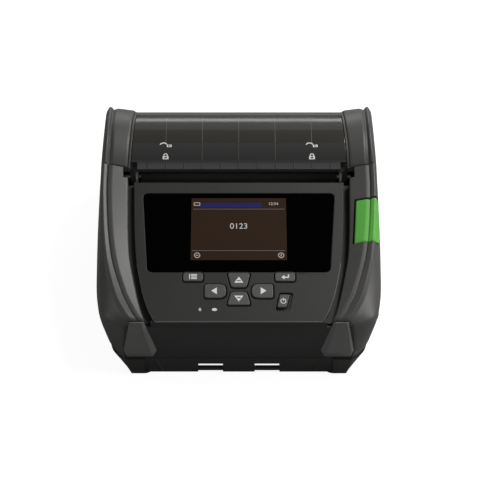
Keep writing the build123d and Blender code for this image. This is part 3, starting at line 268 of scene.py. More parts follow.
def boolean(mesh, tools, operation="DIFFERENCE"):
    """The mesh cut by each tool mesh in turn."""
    for tool in tools:
        a, b = bpy.data.objects.new("a", mesh), bpy.data.objects.new("b", tool)
        for o in (a, b):
            bpy.context.scene.collection.objects.link(o)
        cut = a.modifiers.new("cut", "BOOLEAN")
        cut.operation = operation
        cut.solver = "EXACT"
        cut.object = b
        bpy.context.view_layer.update()
        mesh = bpy.data.meshes.new_from_object(a.evaluated_get(bpy.context.evaluated_depsgraph_get()))
        for o in (a, b):
            bpy.data.objects.remove(o)
    return mesh


def mirrored(mesh):
    copy = mesh.copy()
    for v in copy.vertices:
        v.co.x = -v.co.x
    copy.flip_normals()
    return copy


def piece(name, meshes, body, material, nodes=(), sharp=35, bevel=0.0):
    """One visible piece from one or more meshes, riding on a body and standing for CAD nodes."""
    bm = bmesh.new()
    for mesh in meshes:
        bm.from_mesh(mesh)
    whole = bpy.data.meshes.new(name)
    bm.to_mesh(whole)
    bm.free()
    whole.shade_smooth()
    whole.set_sharp_from_angle(angle=math.radians(sharp))
    obj = bpy.data.objects.new(name, whole)
    bpy.context.scene.collection.objects.link(obj)
    whole.materials.clear()
    whole.materials.append(material)
    if bevel:
        rim = obj.modifiers.new("rim", "BEVEL")
        rim.width = bevel * MM
        rim.segments = 3
        rim.limit_method = "ANGLE"
        rim.angle_limit = math.radians(35)
        rim.harden_normals = False
    even = obj.modifiers.new("even", "WEIGHTED_NORMAL")
    even.keep_sharp = True
    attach(obj, body)
    if nodes:
        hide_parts(*nodes)
    return obj


def finish_of(name, colour, rough, grain=0.4, bump=0.25, vary=0.10, metallic=0.0, specular=0.5):
    """A procedural surface: fine grain in the normal, broad drift in colour and roughness."""
    material = bpy.data.materials.new(name)
    material.use_nodes = True
    tree = material.node_tree
    shader = tree.nodes["Principled BSDF"]
    shader.inputs["Metallic"].default_value = metallic
    shader.inputs["Specular IOR Level"].default_value = specular
    where = tree.nodes.new("ShaderNodeTexCoord")
    fine = tree.nodes.new("ShaderNodeTexNoise")
    fine.inputs["Scale"].default_value = 1.0 / (grain * MM)
    fine.inputs["Detail"].default_value = 3.0
    tree.links.new(where.outputs["Object"], fine.inputs["Vector"])
    relief = tree.nodes.new("ShaderNodeBump")
    relief.inputs["Strength"].default_value = bump
    relief.inputs["Distance"].default_value = 0.0001
    tree.links.new(fine.outputs["Fac"], relief.inputs["Height"])
    tree.links.new(relief.outputs["Normal"], shader.inputs["Normal"])
    broad = tree.nodes.new("ShaderNodeTexNoise")
    broad.inputs["Scale"].default_value = 45.0
    broad.inputs["Detail"].default_value = 5.0
    tree.links.new(where.outputs["Object"], broad.inputs["Vector"])
    drift = tree.nodes.new("ShaderNodeMix")
    drift.data_type = "RGBA"
    drift.inputs[6].default_value = (*[c * (1 - vary) for c in colour], 1)
    drift.inputs[7].default_value = (*[min(c * (1 + vary), 1) for c in colour], 1)
    tree.links.new(broad.outputs["Fac"], drift.inputs[0])
    tree.links.new(drift.outputs[2], shader.inputs["Base Color"])
    spread = tree.nodes.new("ShaderNodeMapRange")
    spread.inputs["To Min"].default_value = max(rough - 0.06, 0.02)
    spread.inputs["To Max"].default_value = min(rough + 0.06, 1.0)
    tree.links.new(broad.outputs["Fac"], spread.inputs["Value"])
    tree.links.new(spread.outputs["Result"], shader.inputs["Roughness"])
    return material


def tinted_glass_with_painted_bands(name, tint, bands, share, rough):
    """A thin smoked sheet, part clear and part a matt layer whose colour is painted light.

    The bands give (degrees about the cover's axis, colour), from the rear to the front, for the matt layer:
    lighter at the rear as a painted reflection, darker from about 95 to 125 degrees as painted shade from
    inside the cover, and lighter again at the front lip.
    """
    material = bpy.data.materials.new(name)
    material.use_nodes = True
    tree = material.node_tree
    tree.nodes.remove(tree.nodes["Principled BSDF"])
    out = tree.nodes["Material Output"]
    where = tree.nodes.new("ShaderNodeTexCoord")
    cloud = tree.nodes.new("ShaderNodeTexNoise")
    cloud.inputs["Scale"].default_value = 60.0
    cloud.inputs["Detail"].default_value = 4.0
    tree.links.new(where.outputs["Object"], cloud.inputs["Vector"])
    relief = tree.nodes.new("ShaderNodeBump")
    relief.inputs["Strength"].default_value = 0.05
    relief.inputs["Distance"].default_value = 0.0002
    tree.links.new(cloud.outputs["Fac"], relief.inputs["Height"])
    clear = tree.nodes.new("ShaderNodeBsdfTransparent")
    tone = tree.nodes.new("ShaderNodeMix")
    tone.data_type = "RGBA"
    tone.inputs[6].default_value = (*[c * 0.9 for c in tint], 1)
    tone.inputs[7].default_value = (*[c * 1.1 for c in tint], 1)
    tree.links.new(cloud.outputs["Fac"], tone.inputs[0])
    tree.links.new(tone.outputs[2], clear.inputs["Color"])
    solid = tree.nodes.new("ShaderNodeBsdfDiffuse")
    parts = tree.nodes.new("ShaderNodeSeparateXYZ")
    tree.links.new(where.outputs["Object"], parts.inputs["Vector"])
    offsets = []
    for axis, centre in (("Y", COVER_Y), ("Z", COVER_Z)):
        shift = tree.nodes.new("ShaderNodeMath")
        shift.operation = "SUBTRACT"
        shift.inputs[1].default_value = centre * MM
        tree.links.new(parts.outputs[axis], shift.inputs[0])
        offsets.append(shift)
    turn = tree.nodes.new("ShaderNodeMath")
    turn.operation = "ARCTAN2"
    tree.links.new(offsets[1].outputs[0], turn.inputs[0])
    tree.links.new(offsets[0].outputs[0], turn.inputs[1])
    share_of_turn = tree.nodes.new("ShaderNodeMath")
    share_of_turn.operation = "DIVIDE"
    share_of_turn.inputs[1].default_value = math.pi
    tree.links.new(turn.outputs[0], share_of_turn.inputs[0])
    # The matt layer's colour by angle about the cover's axis: a painted reflection and painted shade from
    # inside
    ramp = tree.nodes.new("ShaderNodeValToRGB")
    stops = ramp.color_ramp.elements
    while len(stops) < len(bands):
        stops.new(0.5)
    for stop, (angle, colour) in zip(stops, bands):
        stop.position = angle / 180
        stop.color = (*colour, 1)
    tree.links.new(share_of_turn.outputs[0], ramp.inputs["Fac"])
    tree.links.new(ramp.outputs["Color"], solid.inputs["Color"])
    first = tree.nodes.new("ShaderNodeMixShader")
    first.inputs["Fac"].default_value = share
    tree.links.new(clear.outputs["BSDF"], first.inputs[1])
    tree.links.new(solid.outputs["BSDF"], first.inputs[2])
    mirror = tree.nodes.new("ShaderNodeBsdfGlossy")
    spread = tree.nodes.new("ShaderNodeMapRange")
    spread.inputs["To Min"].default_value = rough * 0.7
    spread.inputs["To Max"].default_value = rough * 1.3
    tree.links.new(cloud.outputs["Fac"], spread.inputs["Value"])
    tree.links.new(spread.outputs["Result"], mirror.inputs["Roughness"])
    tree.links.new(relief.outputs["Normal"], mirror.inputs["Normal"])
    edge = tree.nodes.new("ShaderNodeFresnel")
    edge.inputs["IOR"].default_value = 1.35
    second = tree.nodes.new("ShaderNodeMixShader")
    tree.links.new(edge.outputs["Fac"], second.inputs["Fac"])
    tree.links.new(first.outputs["Shader"], second.inputs[1])
    tree.links.new(mirror.outputs["BSDF"], second.inputs[2])
    tree.links.new(second.outputs["Shader"], out.inputs["Surface"])
    return material


guard_grey = finish_of("guard", (0.064, 0.064, 0.062), 0.43, bump=0.4, specular=0.45)
casing_grey = finish_of("casing", (0.030, 0.030, 0.030), 0.48, bump=0.4, specular=0.35)
panel_grey = finish_of("panel", (0.025, 0.025, 0.023), 0.5, bump=0.4, specular=0.35)
# Lighter grey of the panel's rims: a painted highlight along the crease and up its sides
highlight_edge_grey = finish_of("painted_highlight_edge", (0.088, 0.088, 0.085), 0.42, bump=0.2)
base_grey = finish_of("base", (0.033, 0.033, 0.032), 0.55, bump=0.45, specular=0.35)
bumper_grey = finish_of("bumper", (0.125, 0.125, 0.124), 0.45, bump=0.4)
latch_green = finish_of("latch", (0.115, 0.45, 0.066), 0.46, bump=0.3, specular=0.35)
rubber = finish_of("rubber", (0.018, 0.018, 0.018), 0.8, grain=0.6, bump=0.5)
steel = finish_of("steel", (0.55, 0.55, 0.54), 0.32, metallic=1.0, bump=0.1)
gloss = finish_of("screen_gloss", (0.0005, 0.0005, 0.0005), 0.07, bump=0.01, specular=0.04)
display = finish_of("display", (0.02, 0.02, 0.022), 0.35, bump=0.05)
board_green = finish_of("board", (0.02, 0.10, 0.05), 0.5, bump=0.2, grain=1.2)
key_grey = finish_of("keys", (0.075, 0.074, 0.072), 0.48, bump=0.35)
light_clear = finish_of("lights", (0.30, 0.30, 0.30), 0.3, bump=0.05)
# Colours of the window's matt layer by angle: a painted reflection at the rear, painted shade from inside the
# cover in the middle
WINDOW_PAINTED_BANDS = [
    (70, (0.085, 0.085, 0.083)), (86, (0.092, 0.092, 0.089)), (93.5, (0.088, 0.087, 0.083)),
    (95.5, (0.058, 0.056, 0.050)), (108.5, (0.052, 0.050, 0.045)), (110, (0.062, 0.062, 0.062)),
    (125, (0.048, 0.048, 0.048)), (127, (0.085, 0.085, 0.085)), (133, (0.12, 0.12, 0.12)),
]
smoke_with_painted_bands = tinted_glass_with_painted_bands("clear_tint", (0.34, 0.33, 0.31), WINDOW_PAINTED_BANDS, 0.72, 0.16)
roller_rubber = finish_of("platen_rubber", (0.012, 0.012, 0.012), 0.7, bump=0.3)
nylon = finish_of("nylon", (0.62, 0.60, 0.55), 0.45, bump=0.15)
can = finish_of("motor_can", (0.45, 0.45, 0.46), 0.4, metallic=1.0, bump=0.15)
sensor_black = finish_of("sensor", (0.012, 0.012, 0.014), 0.4, bump=0.1)
ceramic = finish_of("head_ceramic", (0.55, 0.54, 0.50), 0.35, bump=0.05)
sink_grey = finish_of("sink", (0.40, 0.41, 0.42), 0.38, metallic=0.9, bump=0.2)
battery_black = finish_of("battery_case", (0.022, 0.022, 0.023), 0.5, bump=0.4)
gold = finish_of("contacts", (0.80, 0.58, 0.25), 0.3, metallic=1.0, bump=0.05)
inner_black = finish_of("inner", (0.016, 0.016, 0.016), 0.6, bump=0.3)
# White of the printed signs, also used over the light pipes as their painted glow
print_and_glow_white = finish_of("icon_and_lamp_glow", (0.82, 0.82, 0.80), 0.5, bump=0.05, vary=0.03)
tick_grey = finish_of("tick", (0.095, 0.095, 0.093), 0.5, bump=0.05, vary=0.04)
tick_dark = finish_of("tick_dark", (0.003, 0.003, 0.003), 0.5, bump=0.05, vary=0.04)
screen_brown = finish_of("screen_field", (0.034, 0.019, 0.011), 0.6, bump=0.02, vary=0.06, specular=0.05)
screen_blue = finish_of("screen_bar", (0.022, 0.022, 0.15), 0.6, bump=0.02, vary=0.06, specular=0.05)
screen_light = finish_of("screen_mark", (0.62, 0.62, 0.60), 0.5, bump=0.02, vary=0.04)
screen_dim = finish_of("screen_line", (0.16, 0.155, 0.15), 0.5, bump=0.02, vary=0.04)

by_slot = {
    "casing": casing_grey, "guard": guard_grey, "latch_green": latch_green, "rubber_black": rubber,
    "steel": steel, "screen_gloss": gloss, "display": display, "board": board_green, "keys": key_grey,
    "lights": light_clear, "clear_tint": smoke_with_painted_bands, "platen_rubber": roller_rubber, "nylon": nylon,
    "motor_can": can, "sensor": sensor_black, "head_ceramic": ceramic, "sink": sink_grey,
    "battery_case": battery_black, "contacts": gold,
}
# The port cover has the finish of the housing's side around it. The bay, the tray and the bracket are black
by_node = {
    "port_cover": guard_grey, "media_bay": inner_black, "battery_tray": inner_black,
    "head_bracket": inner_black,
}
slot_of_node = {entry["node"]: entry["material_slot"] for entry in frame["record"]["subparts"]}
for node, obj in frame["nodes"].items():
    material = by_node.get(node, by_slot.get(slot_of_node.get(node), inner_black))
    obj.data.materials.clear()
    obj.data.materials.append(material)


def along_path(path, count):
    """The path cut into count equal steps."""
    lengths = [0.0]
    for a, b in zip(path, path[1:]):
        lengths.append(lengths[-1] + math.dist(a, b))
    out, k = [], 0
    for i in range(count + 1):
        want = lengths[-1] * i / count
        while k < len(path) - 2 and lengths[k + 1] < want:
            k += 1
        share = (want - lengths[k]) / max(lengths[k + 1] - lengths[k], 1e-9)
        out.append(tuple(a + (b - a) * share for a, b in zip(path[k], path[k + 1])))
    return out


def tuck_half(y):
    """The half width low on the side, on a straight line from the parting line to the widest line."""
    part, wide = along(y, PART_LINE), along(y, WIDE_LINE)
    return part + (wide - part) * (TUCK_Z - PART_Z) / (WIDE_Z - PART_Z)


def side_curve(y):
    """The outer side in section, as (half width, z), from the parting line up to the ridge."""
    top = panel_z(y)
    points = [
        (along(y, PART_LINE) - 1.3, PART_Z),
        (tuck_half(y), TUCK_Z),
        (along(y, WIDE_LINE), WIDE_Z),
        (along(y, SHOULDER_LINE), top - 2.0),
        (along(y, RIDGE_LINE), top + along(y, RIDGE_RISE) - 0.6),
    ]
    return rounded(points, [0, 0.9, 11.0, 5.0, 0], steps=10)


def split_side(y, level):
    """The side curve under and over a level."""
    path = side_curve(y)
    for i in range(len(path) - 1):
        (x0, z0), (x1, z1) = path[i], path[i + 1]
        if z0 <= level < z1:
            cut = (x0 + (x1 - x0) * (level - z0) / (z1 - z0), level)
            return path[: i + 1] + [cut], [cut] + path[i + 1:]
    raise ValueError(f"no crossing of {level} at {y}")


# Side guards
def guard_ring(y, inner_from=None, low=None, drop=0.0, outer_low=None):
    """The guard in section: up its inner wall, over crest, groove and ridge, and down the outer side.

    The latch has the same section, but begins further out and ends higher up.
    """
    top = panel_z(y)
    inner, groove, ridge = along(y, INNER_LINE), along(y, GROOVE_LINE), along(y, RIDGE_LINE)
    crest_z, high = top + along(y, CREST_RISE) - drop, top + along(y, RIDGE_RISE) - drop
    inner_z = top + along(y, INNER_RISE) - drop
    wide = min(1.0, (groove - inner) / 6.0)
    crest_x = groove - 2.4 * wide
    bottom_z = seat_z(y) if low is None else top - low
    side = along_path(split_side(y, bottom_z if outer_low is None else top - outer_low)[1], 12)
    if inner_from is not None and inner_from > inner:
        inner_z += (crest_z - inner_z) * (inner_from - inner) / (crest_x - inner)
        inner = inner_from
    points = [
        (inner, bottom_z),
        (inner, inner_z),
        (crest_x, crest_z),
        (groove - 0.35 * wide, crest_z - 0.12 * wide),
        (groove - 0.05 * wide, crest_z - 0.75 * wide),
        (groove + 0.3 * wide, high - 0.75),
        (groove + (ridge - groove) * 0.62, high),
        (ridge, high - 0.7),
        side[-4],
    ]
    outline = rounded(points, [0, 0.9, 0.7, 0.3, 0.2, 0.25, 0.5, 0.6, 0], steps=5)
    outline += [(x, min(z, high - 0.6)) for x, z in side[-5::-1]]
    if outer_low is not None:
        outline.append((side[0][0] - 3.0, bottom_z))
    return [(x, y, z) for x, z in outline]


GUARD_END_R = 1.6
guard_rows = [CREASE_Y + GUARD_END_R * k / 6 for k in range(6)]
guard_rows += stations(CREASE_Y + GUARD_END_R, SEAM_Y - 0.5, 1.0) + [SEAM_Y]
guard_drops = [round_in(y - CREASE_Y, GUARD_END_R) for y in guard_rows]
guard_drops[-1] = 0.35  # a small step down at the seam with the cover
guard_blank = skin([guard_ring(y, drop=drop) for y, drop in zip(guard_rows, guard_drops)])
lip_notch = box(40, 63.0, 2.6, SEAM_Y + 1, 50, 80)
right_guard = boolean(guard_blank, [lip_notch])
left_guard = mirrored(right_guard)

LATCH_FRONT, LATCH_REAR, LATCH_LOW_Z = -36.6, -11.6, 50.0
LATCH_SLANT, LATCH_SLANT_Z = 5.2, 56.0


def latch_inner(y):
    """The latch's inner edge: it leans in towards the front."""
    return 63.0 + 0.076 * (y - LATCH_REAR)


cut_front, cut_rear, cut_low = LATCH_FRONT - 0.3, LATCH_REAR + 0.9, LATCH_LOW_Z - 0.3
latch_cut = skin([
    [(latch_inner(y) - 0.9, y, 40), (73.5, y, 40), (73.5, y, 80), (latch_inner(y) - 0.9, y, 80)]
    for y in (cut_front, cut_rear)
])
# The opening seen from the side, as (y, z): its front end slants back under the ridge
latch_opening = [
    (cut_front, 82), (cut_front, LATCH_SLANT_Z - 0.3), (cut_front + LATCH_SLANT, cut_low),
    (cut_rear, cut_low + (cut_rear - cut_front - LATCH_SLANT) * 0.31), (cut_rear, 82),
]
right_guard = boolean(right_guard, [latch_cut, prism(latch_opening, 73.4, 80)])
piece("guard_right_skin", [right_guard], "printer_body", guard_grey, ["side_guard_right"], sharp=32)
piece("guard_left_skin", [left_guard], "printer_body", guard_grey, ["side_guard_left"], sharp=32)

# Release latch
latch_rows = [LATCH_FRONT, LATCH_FRONT + 0.1, LATCH_FRONT + 0.3]
latch_rows += stations(LATCH_FRONT + 0.7, LATCH_REAR - 0.7, 1.0)
latch_rows += [LATCH_REAR - 0.3, LATCH_REAR - 0.1, LATCH_REAR]
latch_sections = []
for y in latch_rows:
    drop = round_in(min(y - LATCH_FRONT, LATCH_REAR - y), 0.7)
    latch_sections.append(guard_ring(y, inner_from=latch_inner(y), low=2.9, drop=drop, outer_low=1.6))
slant_y = LATCH_FRONT + LATCH_SLANT
wedge = [(-38, LATCH_SLANT_Z), (LATCH_FRONT, LATCH_SLANT_Z), (slant_y, LATCH_LOW_Z), (slant_y, 45), (-38, 45)]
latch_shell = boolean(skin(latch_sections), [prism(wedge, 72.6, 82)])
piece("latch_shell", [latch_shell], "latch", latch_green, ["release_latch"], sharp=32)


# Control panel with its keys, window and marks
def panel_half(up, line):
    return along(CREASE_Y + up * COS, line)


def panel_outline(line, start, end, inset=0.0):
    """The panel's outline in its own plane, as (across, up)."""
    return both_sides([(panel_half(up, line) - inset, up) for up in stations(start, end, 1.5)])


KEYS = {
    "menu": oblong(-29.3, -18.7, 23.0, 28.0),
    "enter": oblong(18.9, 29.5, 23.0, 28.0),
    "up": [(-3.9, 19.3), (3.9, 19.3), (6.0, 27.9), (-6.0, 27.9)],
    "down": [(-6.1, 9.0), (6.1, 9.0), (4.1, 16.9), (-4.1, 16.9)],
    "left": oblong(-17.9, -6.6, 13.1, 21.4),
    "right": oblong(6.6, 17.9, 13.1, 21.4),
    "power": [(19.8, 7.6), (24.6, 7.6), (26.6, 15.2), (21.4, 15.2)],
}
POWER_DISH = [(19.0, 5.8), (26.0, 5.8), (28.4, 16.4), (20.8, 16.4)]
LIGHTS = [(-20.1, 6.6), (-12.6, 6.6)]
WINDOW = [(-48.0, 28.8), (48.0, 28.8), (51.8, 77.3), (-51.8, 77.3)]
PANEL_END = (PANEL_TOP_Y - 0.4 - CREASE_Y) / COS


def grown(points, amount):
    """An outline moved outwards by the amount, corner by corner."""
    turn = 1 if signed_area(points) > 0 else -1
    out = []
    for i, point in enumerate(points):
        p = Vector(point)
        a = (p - Vector(points[i - 1])).normalized()
        b = (Vector(points[(i + 1) % len(points)]) - p).normalized()
        na, nb = Vector((a.y, -a.x)) * turn, Vector((b.y, -b.x)) * turn
        out.append(tuple(p + (na + nb) * (amount / max(1 + na.dot(nb), 0.2))))
    return out


PLAIN_CUTS = (1.6, 1.6, 1.6, 1.6)
KEY_CUTS = {"left": (1.6, 4.0, 4.0, 1.6), "right": (4.0, 1.6, 1.6, 4.0), "power": (1.1, 1.1, 1.1, 1.1)}


def key_shape(points, grow=0.0, key=""):
    """A key's outline grown outwards, with its corners rounded."""
    cuts = [cut + grow * 0.6 for cut in KEY_CUTS.get(key, PLAIN_CUTS)]
    return rounded(grown(points, grow), cuts, steps=6)


holes = [rounded(grown(WINDOW, 0.12), [3.2] * 4, steps=8)]
holes += [key_shape(points, 0.5, name) for name, points in KEYS.items() if name != "power"]
holes += [key_shape(POWER_DISH)]
holes += [circle(u, v, 0.95, 24) for u, v in LIGHTS]
panel_rim = panel_outline(PANEL_LINE, -0.35, PANEL_END)
panel_top = flat(panel_rim, -2.5, 0.0, place_panel, holes, bevel=0.35, rounds=3)
panel_nose = box(-45.5, 45.5, -78.45, -76.0, 34.4, 38.2)
dish_hole = key_shape(KEYS["power"], 0.32, "power")
dish_floor = flat(key_shape(POWER_DISH, -0.1), -1.9, -0.9, place_panel, [dish_hole], bevel=0.1)
under_holes = [rounded(grown(WINDOW, -1.2), [2.6] * 4, steps=4)]
under_holes += [key_shape(points, 0.9) for points in KEYS.values()]
under_holes += [circle(u, v, 1.6, 16) for u, v in LIGHTS]
under_rim = panel_outline(INNER_LINE, 0.2, PANEL_END, 0.1)
panel_under = flat(under_rim, -3.9, -3.3, place_panel, under_holes)
panel_parts = [panel_top, panel_nose, dish_floor]
piece("panel_skin", panel_parts, "printer_body", panel_grey, ["control_panel"], sharp=30)
piece("panel_under", [panel_under], "printer_body", inner_black)

# The panel's rims, in a lighter grey that paints a highlight: along the crease, and up both sides from it
EDGE_HALF = 43.4
CREASE_SECTION = [(-78.05, 38.35), (-78.62, 38.35), (-78.62, 38.95), (-78.3, 39.02), (-78.05, 38.98)]
RIM_SECTION = [(-0.37, 0.015), (-0.08, -0.07), (0.015, -0.37), (-0.3, -0.3)]
crease_edge = prism(rounded(CREASE_SECTION, [0, 0.1, 0.4, 0.1, 0], steps=3), -EDGE_HALF, EDGE_HALF)
side_edge = skin([
    [place_panel(panel_half(up, PANEL_LINE) + out, up, w) for out, w in RIM_SECTION]
    for up in stations(0.3, 34.0, 0.8)
])
panel_edges = [crease_edge, side_edge, mirrored(side_edge)]
piece("panel_edge_highlight", panel_edges, "printer_body", highlight_edge_grey)
window_plate = flat(rounded(WINDOW, [3.0] * 4, steps=8), -1.2, 0.0, place_panel, bevel=0.12)
piece("window_plate", [window_plate], "printer_body", gloss, ["display_window"])

# Keys, and their signs as outlines with a hole or none
menu_lines = [oblong(-25.0, -21.9, 24.2 + 0.82 * k, 24.72 + 0.82 * k) for k in range(4)]
enter_arrow = [
    (22.3, 25.3), (23.9, 24.0), (23.9, 24.9), (26.3, 24.9), (26.3, 27.0), (25.7, 27.0), (25.7, 25.6),
    (23.9, 25.6), (23.9, 26.6),
]
icons = {
    "menu": [(outline, None) for outline in [oblong(-26.0, -25.5, 24.2, 27.2)] + menu_lines],
    "enter": [(enter_arrow, None)],
    "up": [(
        [(-2.4, 22.0), (2.4, 22.0), (0.0, 25.6)],
        [(-1.2, 22.9), (1.2, 22.9), (0.8, 23.5), (-0.8, 23.5)],
    )],
    "down": [(
        [(-2.4, 14.4), (2.4, 14.4), (0.0, 11.0)],
        [(-1.2, 13.5), (1.2, 13.5), (0.8, 12.9), (-0.8, 12.9)],
    )],
    "left": [([(-14.4, 17.25), (-11.4, 15.2), (-11.4, 19.3)], None)],
    "right": [([(14.4, 17.25), (11.4, 15.2), (11.4, 19.3)], None)],
    "power": [
        (circle(23.1, 11.2, 1.5, 28), circle(23.1, 11.2, 1.1, 28)),
        ([(22.9, 11.3), (23.3, 11.3), (23.35, 13.1), (22.95, 13.1)], None),
    ],
}
for key, points in KEYS.items():
    body = "key_" + key + "_body"
    cap = flat(key_shape(points, 0.0, key), -4.0, 0.8, place_panel, bevel=0.45, rounds=4)
    flange = flat(key_shape(points, 0.5, key), -4.6, -4.0, place_panel)
    piece("cap_" + key, [cap, flange], body, key_grey, ["key_" + key], sharp=30)
    marks = [flat(outer, 0.79, 0.82, place_panel, [hole] if hole else []) for outer, hole in icons[key]]
    piece("mark_" + key, marks, body, print_and_glow_white)

# White marks laid over the light pipes: painted glow of the lit lamps
lamp_bar = [(-20.35, 5.7), (-19.9, 5.7), (-19.85, 7.6), (-20.3, 7.6)]
lamp_oval = [(-12.6 + u * 1.35, 6.6 + v * 0.85) for u, v in circle(0, 0, 1.0, 28)]
painted_lamp_glow = [flat(outline, 0.1, 0.13, place_panel) for outline in (lamp_bar, lamp_oval)]
piece("painted_lamp_glow", painted_lamp_glow, "printer_body", print_and_glow_white)


# Screen picture: field, bars and plain figures, just over the window
def bar(u0, u1, v0, v1, low=0.012, high=0.03):
    """A bar on the screen, between two heights over the window."""
    return flat(oblong(u0, u1, v0, v1), low, high, place_panel)


def frame_mark(outer, hole):
    """A thin ring or frame on the screen."""
    return flat(outer, 0.012, 0.03, place_panel, [hole])


def figures(text, u, v, height):
    """Plain figures, centred across at u, with their foot at v."""
    curve = bpy.data.curves.new("figures", "FONT")
    curve.body = text
    curve.size = height / 0.7
    curve.align_x = "CENTER"
    curve.extrude = 0.01
    holder = bpy.data.objects.new("figures", curve)
    bpy.context.scene.collection.objects.link(holder)
    bpy.context.view_layer.update()
    shape = bpy.data.meshes.new_from_object(holder.evaluated_get(bpy.context.evaluated_depsgraph_get()))
    verts = [place_panel(p.co.x + u, p.co.y + v, p.co.z + 0.03) for p in shape.vertices]
    faces = [tuple(p.vertices) for p in shape.polygons]
    bpy.data.objects.remove(holder)
    return mesh_of(verts, faces)


screen_field = [bar(-25.5, 25.5, 36.0, 74.3, 0.0, 0.012)]
screen_lines = [bar(-24.6, 24.6, v, v + 0.25) for v in (67.3, 41.6)]
screen_marks = [
    figures("12:34", 18.6, 70.0, 1.7),
    figures("0123", 0.0, 55.2, 3.4),
    frame_mark(oblong(-24.2, -20.9, 69.6, 71.6), oblong(-23.9, -21.2, 69.9, 71.3)),
    frame_mark(circle(-22.0, 38.9, 1.6, 28), circle(-22.0, 38.9, 1.25, 28)),
    frame_mark(circle(22.4, 38.9, 1.6, 28), circle(22.4, 38.9, 1.25, 28)),
    bar(-22.7, -21.3, 38.7, 39.1),
    bar(22.2, 22.6, 38.2, 39.6),
]
piece("screen_field", screen_field, "printer_body", screen_brown)
piece("screen_bar", [bar(-20.9, 12.5, 68.7, 71.2)], "printer_body", screen_blue)
piece("screen_lines", screen_lines, "printer_body", screen_dim)
piece("screen_marks", screen_marks, "printer_body", screen_light)


# Housing: side walls, front and rear plates, hinge knuckles and deck
def wall_ring(y, rear):
    """The side wall in section: to the deck's level at the rear, and to the guard's seat in front."""
    if rear:
        wide = along(y, WIDE_LINE)
        low_points = [(along(y, PART_LINE) - 1.3, PART_Z), (tuck_half(y), TUCK_Z)]
        high_points = [(wide, WIDE_Z), (wide - 0.3, SIDE_SPLIT_Z)]
        path = rounded(low_points + high_points, [0, 0.9, 8.0, 0], steps=10)
    else:
        path = split_side(y, seat_z(y))[0]
    outer = along_path(path, 30)
    inner = [(x - WALL, z) for x, z in reversed(outer)]
    return [(x, y, z) for x, z in outer + inner]


def knuckle(x0, x1):
    """A hinge knuckle with its pin hole."""
    pin_hole = circle(HINGE_Y, HINGE_Z, PIN_R + 0.06, 32)
    return flat(circle(HINGE_Y, HINGE_Z, HINGE_R), x0, x1, place_side, [pin_hole], bevel=0.25)


front_rows = stations(-78.3, -60, 0.8) + stations(-58.8, SEAM_Y, 2.2)
rear_rows = stations(SEAM_Y, 60, 6.0) + stations(61, 80.7, 1.0)
front_wall = skin([wall_ring(y, False) for y in front_rows])
rear_wall = skin([wall_ring(y, True) for y in rear_rows])
port_cut = box(58, 80, -67.0, -50.0, 17.5, 30.5)
front_wall_right = boolean(front_wall, [port_cut])
front_side = split_side(FRONT_PLATE_Y, seat_z(FRONT_PLATE_Y))[0]
front_side[0] = (front_side[0][0], PART_Z + 0.4)
front_face = plate(both_sides(front_side), FRONT_PLATE_Y, FRONT_PLATE_Y + WALL)
rear_wide = along(HALF_DEPTH, WIDE_LINE)
rear_side = [(along(HALF_DEPTH, PART_LINE), PART_Z), (rear_wide, WIDE_Z), (rear_wide - 0.5, SIDE_SPLIT_Z)]
rear_shape = rounded(both_sides(rear_side), [0.6, 5.0, 0.6, 0.6, 5.0, 0.6], steps=5)
rear_face = plate(rear_shape, HALF_DEPTH, HALF_DEPTH - WALL)
deck_rows = []
for y in (76.5, 78.0, 80.0):
    half = along(y, WIDE_LINE) - 1
    deck_rows.append([(x, y, z) for x, z in both_sides([(half, 38.5), (half, 40.5)])])
housing_web = [
    (HINGE_Y + 1.7, HINGE_Z - 2.3), (HINGE_Y + 1.7, HINGE_Z + 2.2), (HALF_DEPTH - 0.4, SIDE_SPLIT_Z),
    (HALF_DEPTH - 0.4, 38), (HALF_DEPTH - 1.5, 38),
]
housing_parts = [front_wall_right, mirrored(front_wall), rear_wall, mirrored(rear_wall), rear_face]
for side in (-1, 1):
    for start in (21.6, 40.2):
        low, high = sorted((side * start, side * (start + 9.0)))
        housing_parts.append(knuckle(low, high))
        housing_parts.append(flat(housing_web, low, high, place_side, bevel=0.15))
piece("housing_skin", housing_parts, "printer_body", guard_grey, ["main_housing"], sharp=30)
piece("housing_front", [front_face, skin(deck_rows)], "printer_body", casing_grey, sharp=30)


# Base shell, with its strap slots and bars, front ribs, and room for battery, feet and screws
def base_ring(y, inset=0.0, low=BASE_LIFT, high=PART_Z):
    """The base in section, or the hollow inside it, drawn in by the inset."""
    foot, part = along(y, FOOT_LINE), along(y, PART_LINE)

    def half(z):
        return foot + (part - foot) * (z - BASE_LIFT) / (PART_Z - BASE_LIFT) - inset

    cuts = [0, 0, 0, 0] if inset else [0.8, 0.4, 0.4, 0.8]
    outline = rounded(both_sides([(half(low), low), (half(high), high)]), cuts)
    return [(x, y, z) for x, z in outline]


def disc(x, y, radius, z0, z1):
    return skin([[(u, v, z) for u, v in circle(x, y, radius, 40)] for z in (z0, z1)])


STRAP_PLACES = (-15.0, 15.0)
FOOT_PLACES = [(-50, -74.5), (50, -74.5), (-55, 66), (55, 66)]
SCREW_PLACES = [(-55, -66), (55, -66), (-52, 76), (52, 76)]
RIB_SECTION = [(0.0, -0.45), (-0.7, -0.1), (0.0, 0.3), (0.7, -0.05)]
RIB_ENDS = [(43.9, 11.0), (40.3, 1.4)]

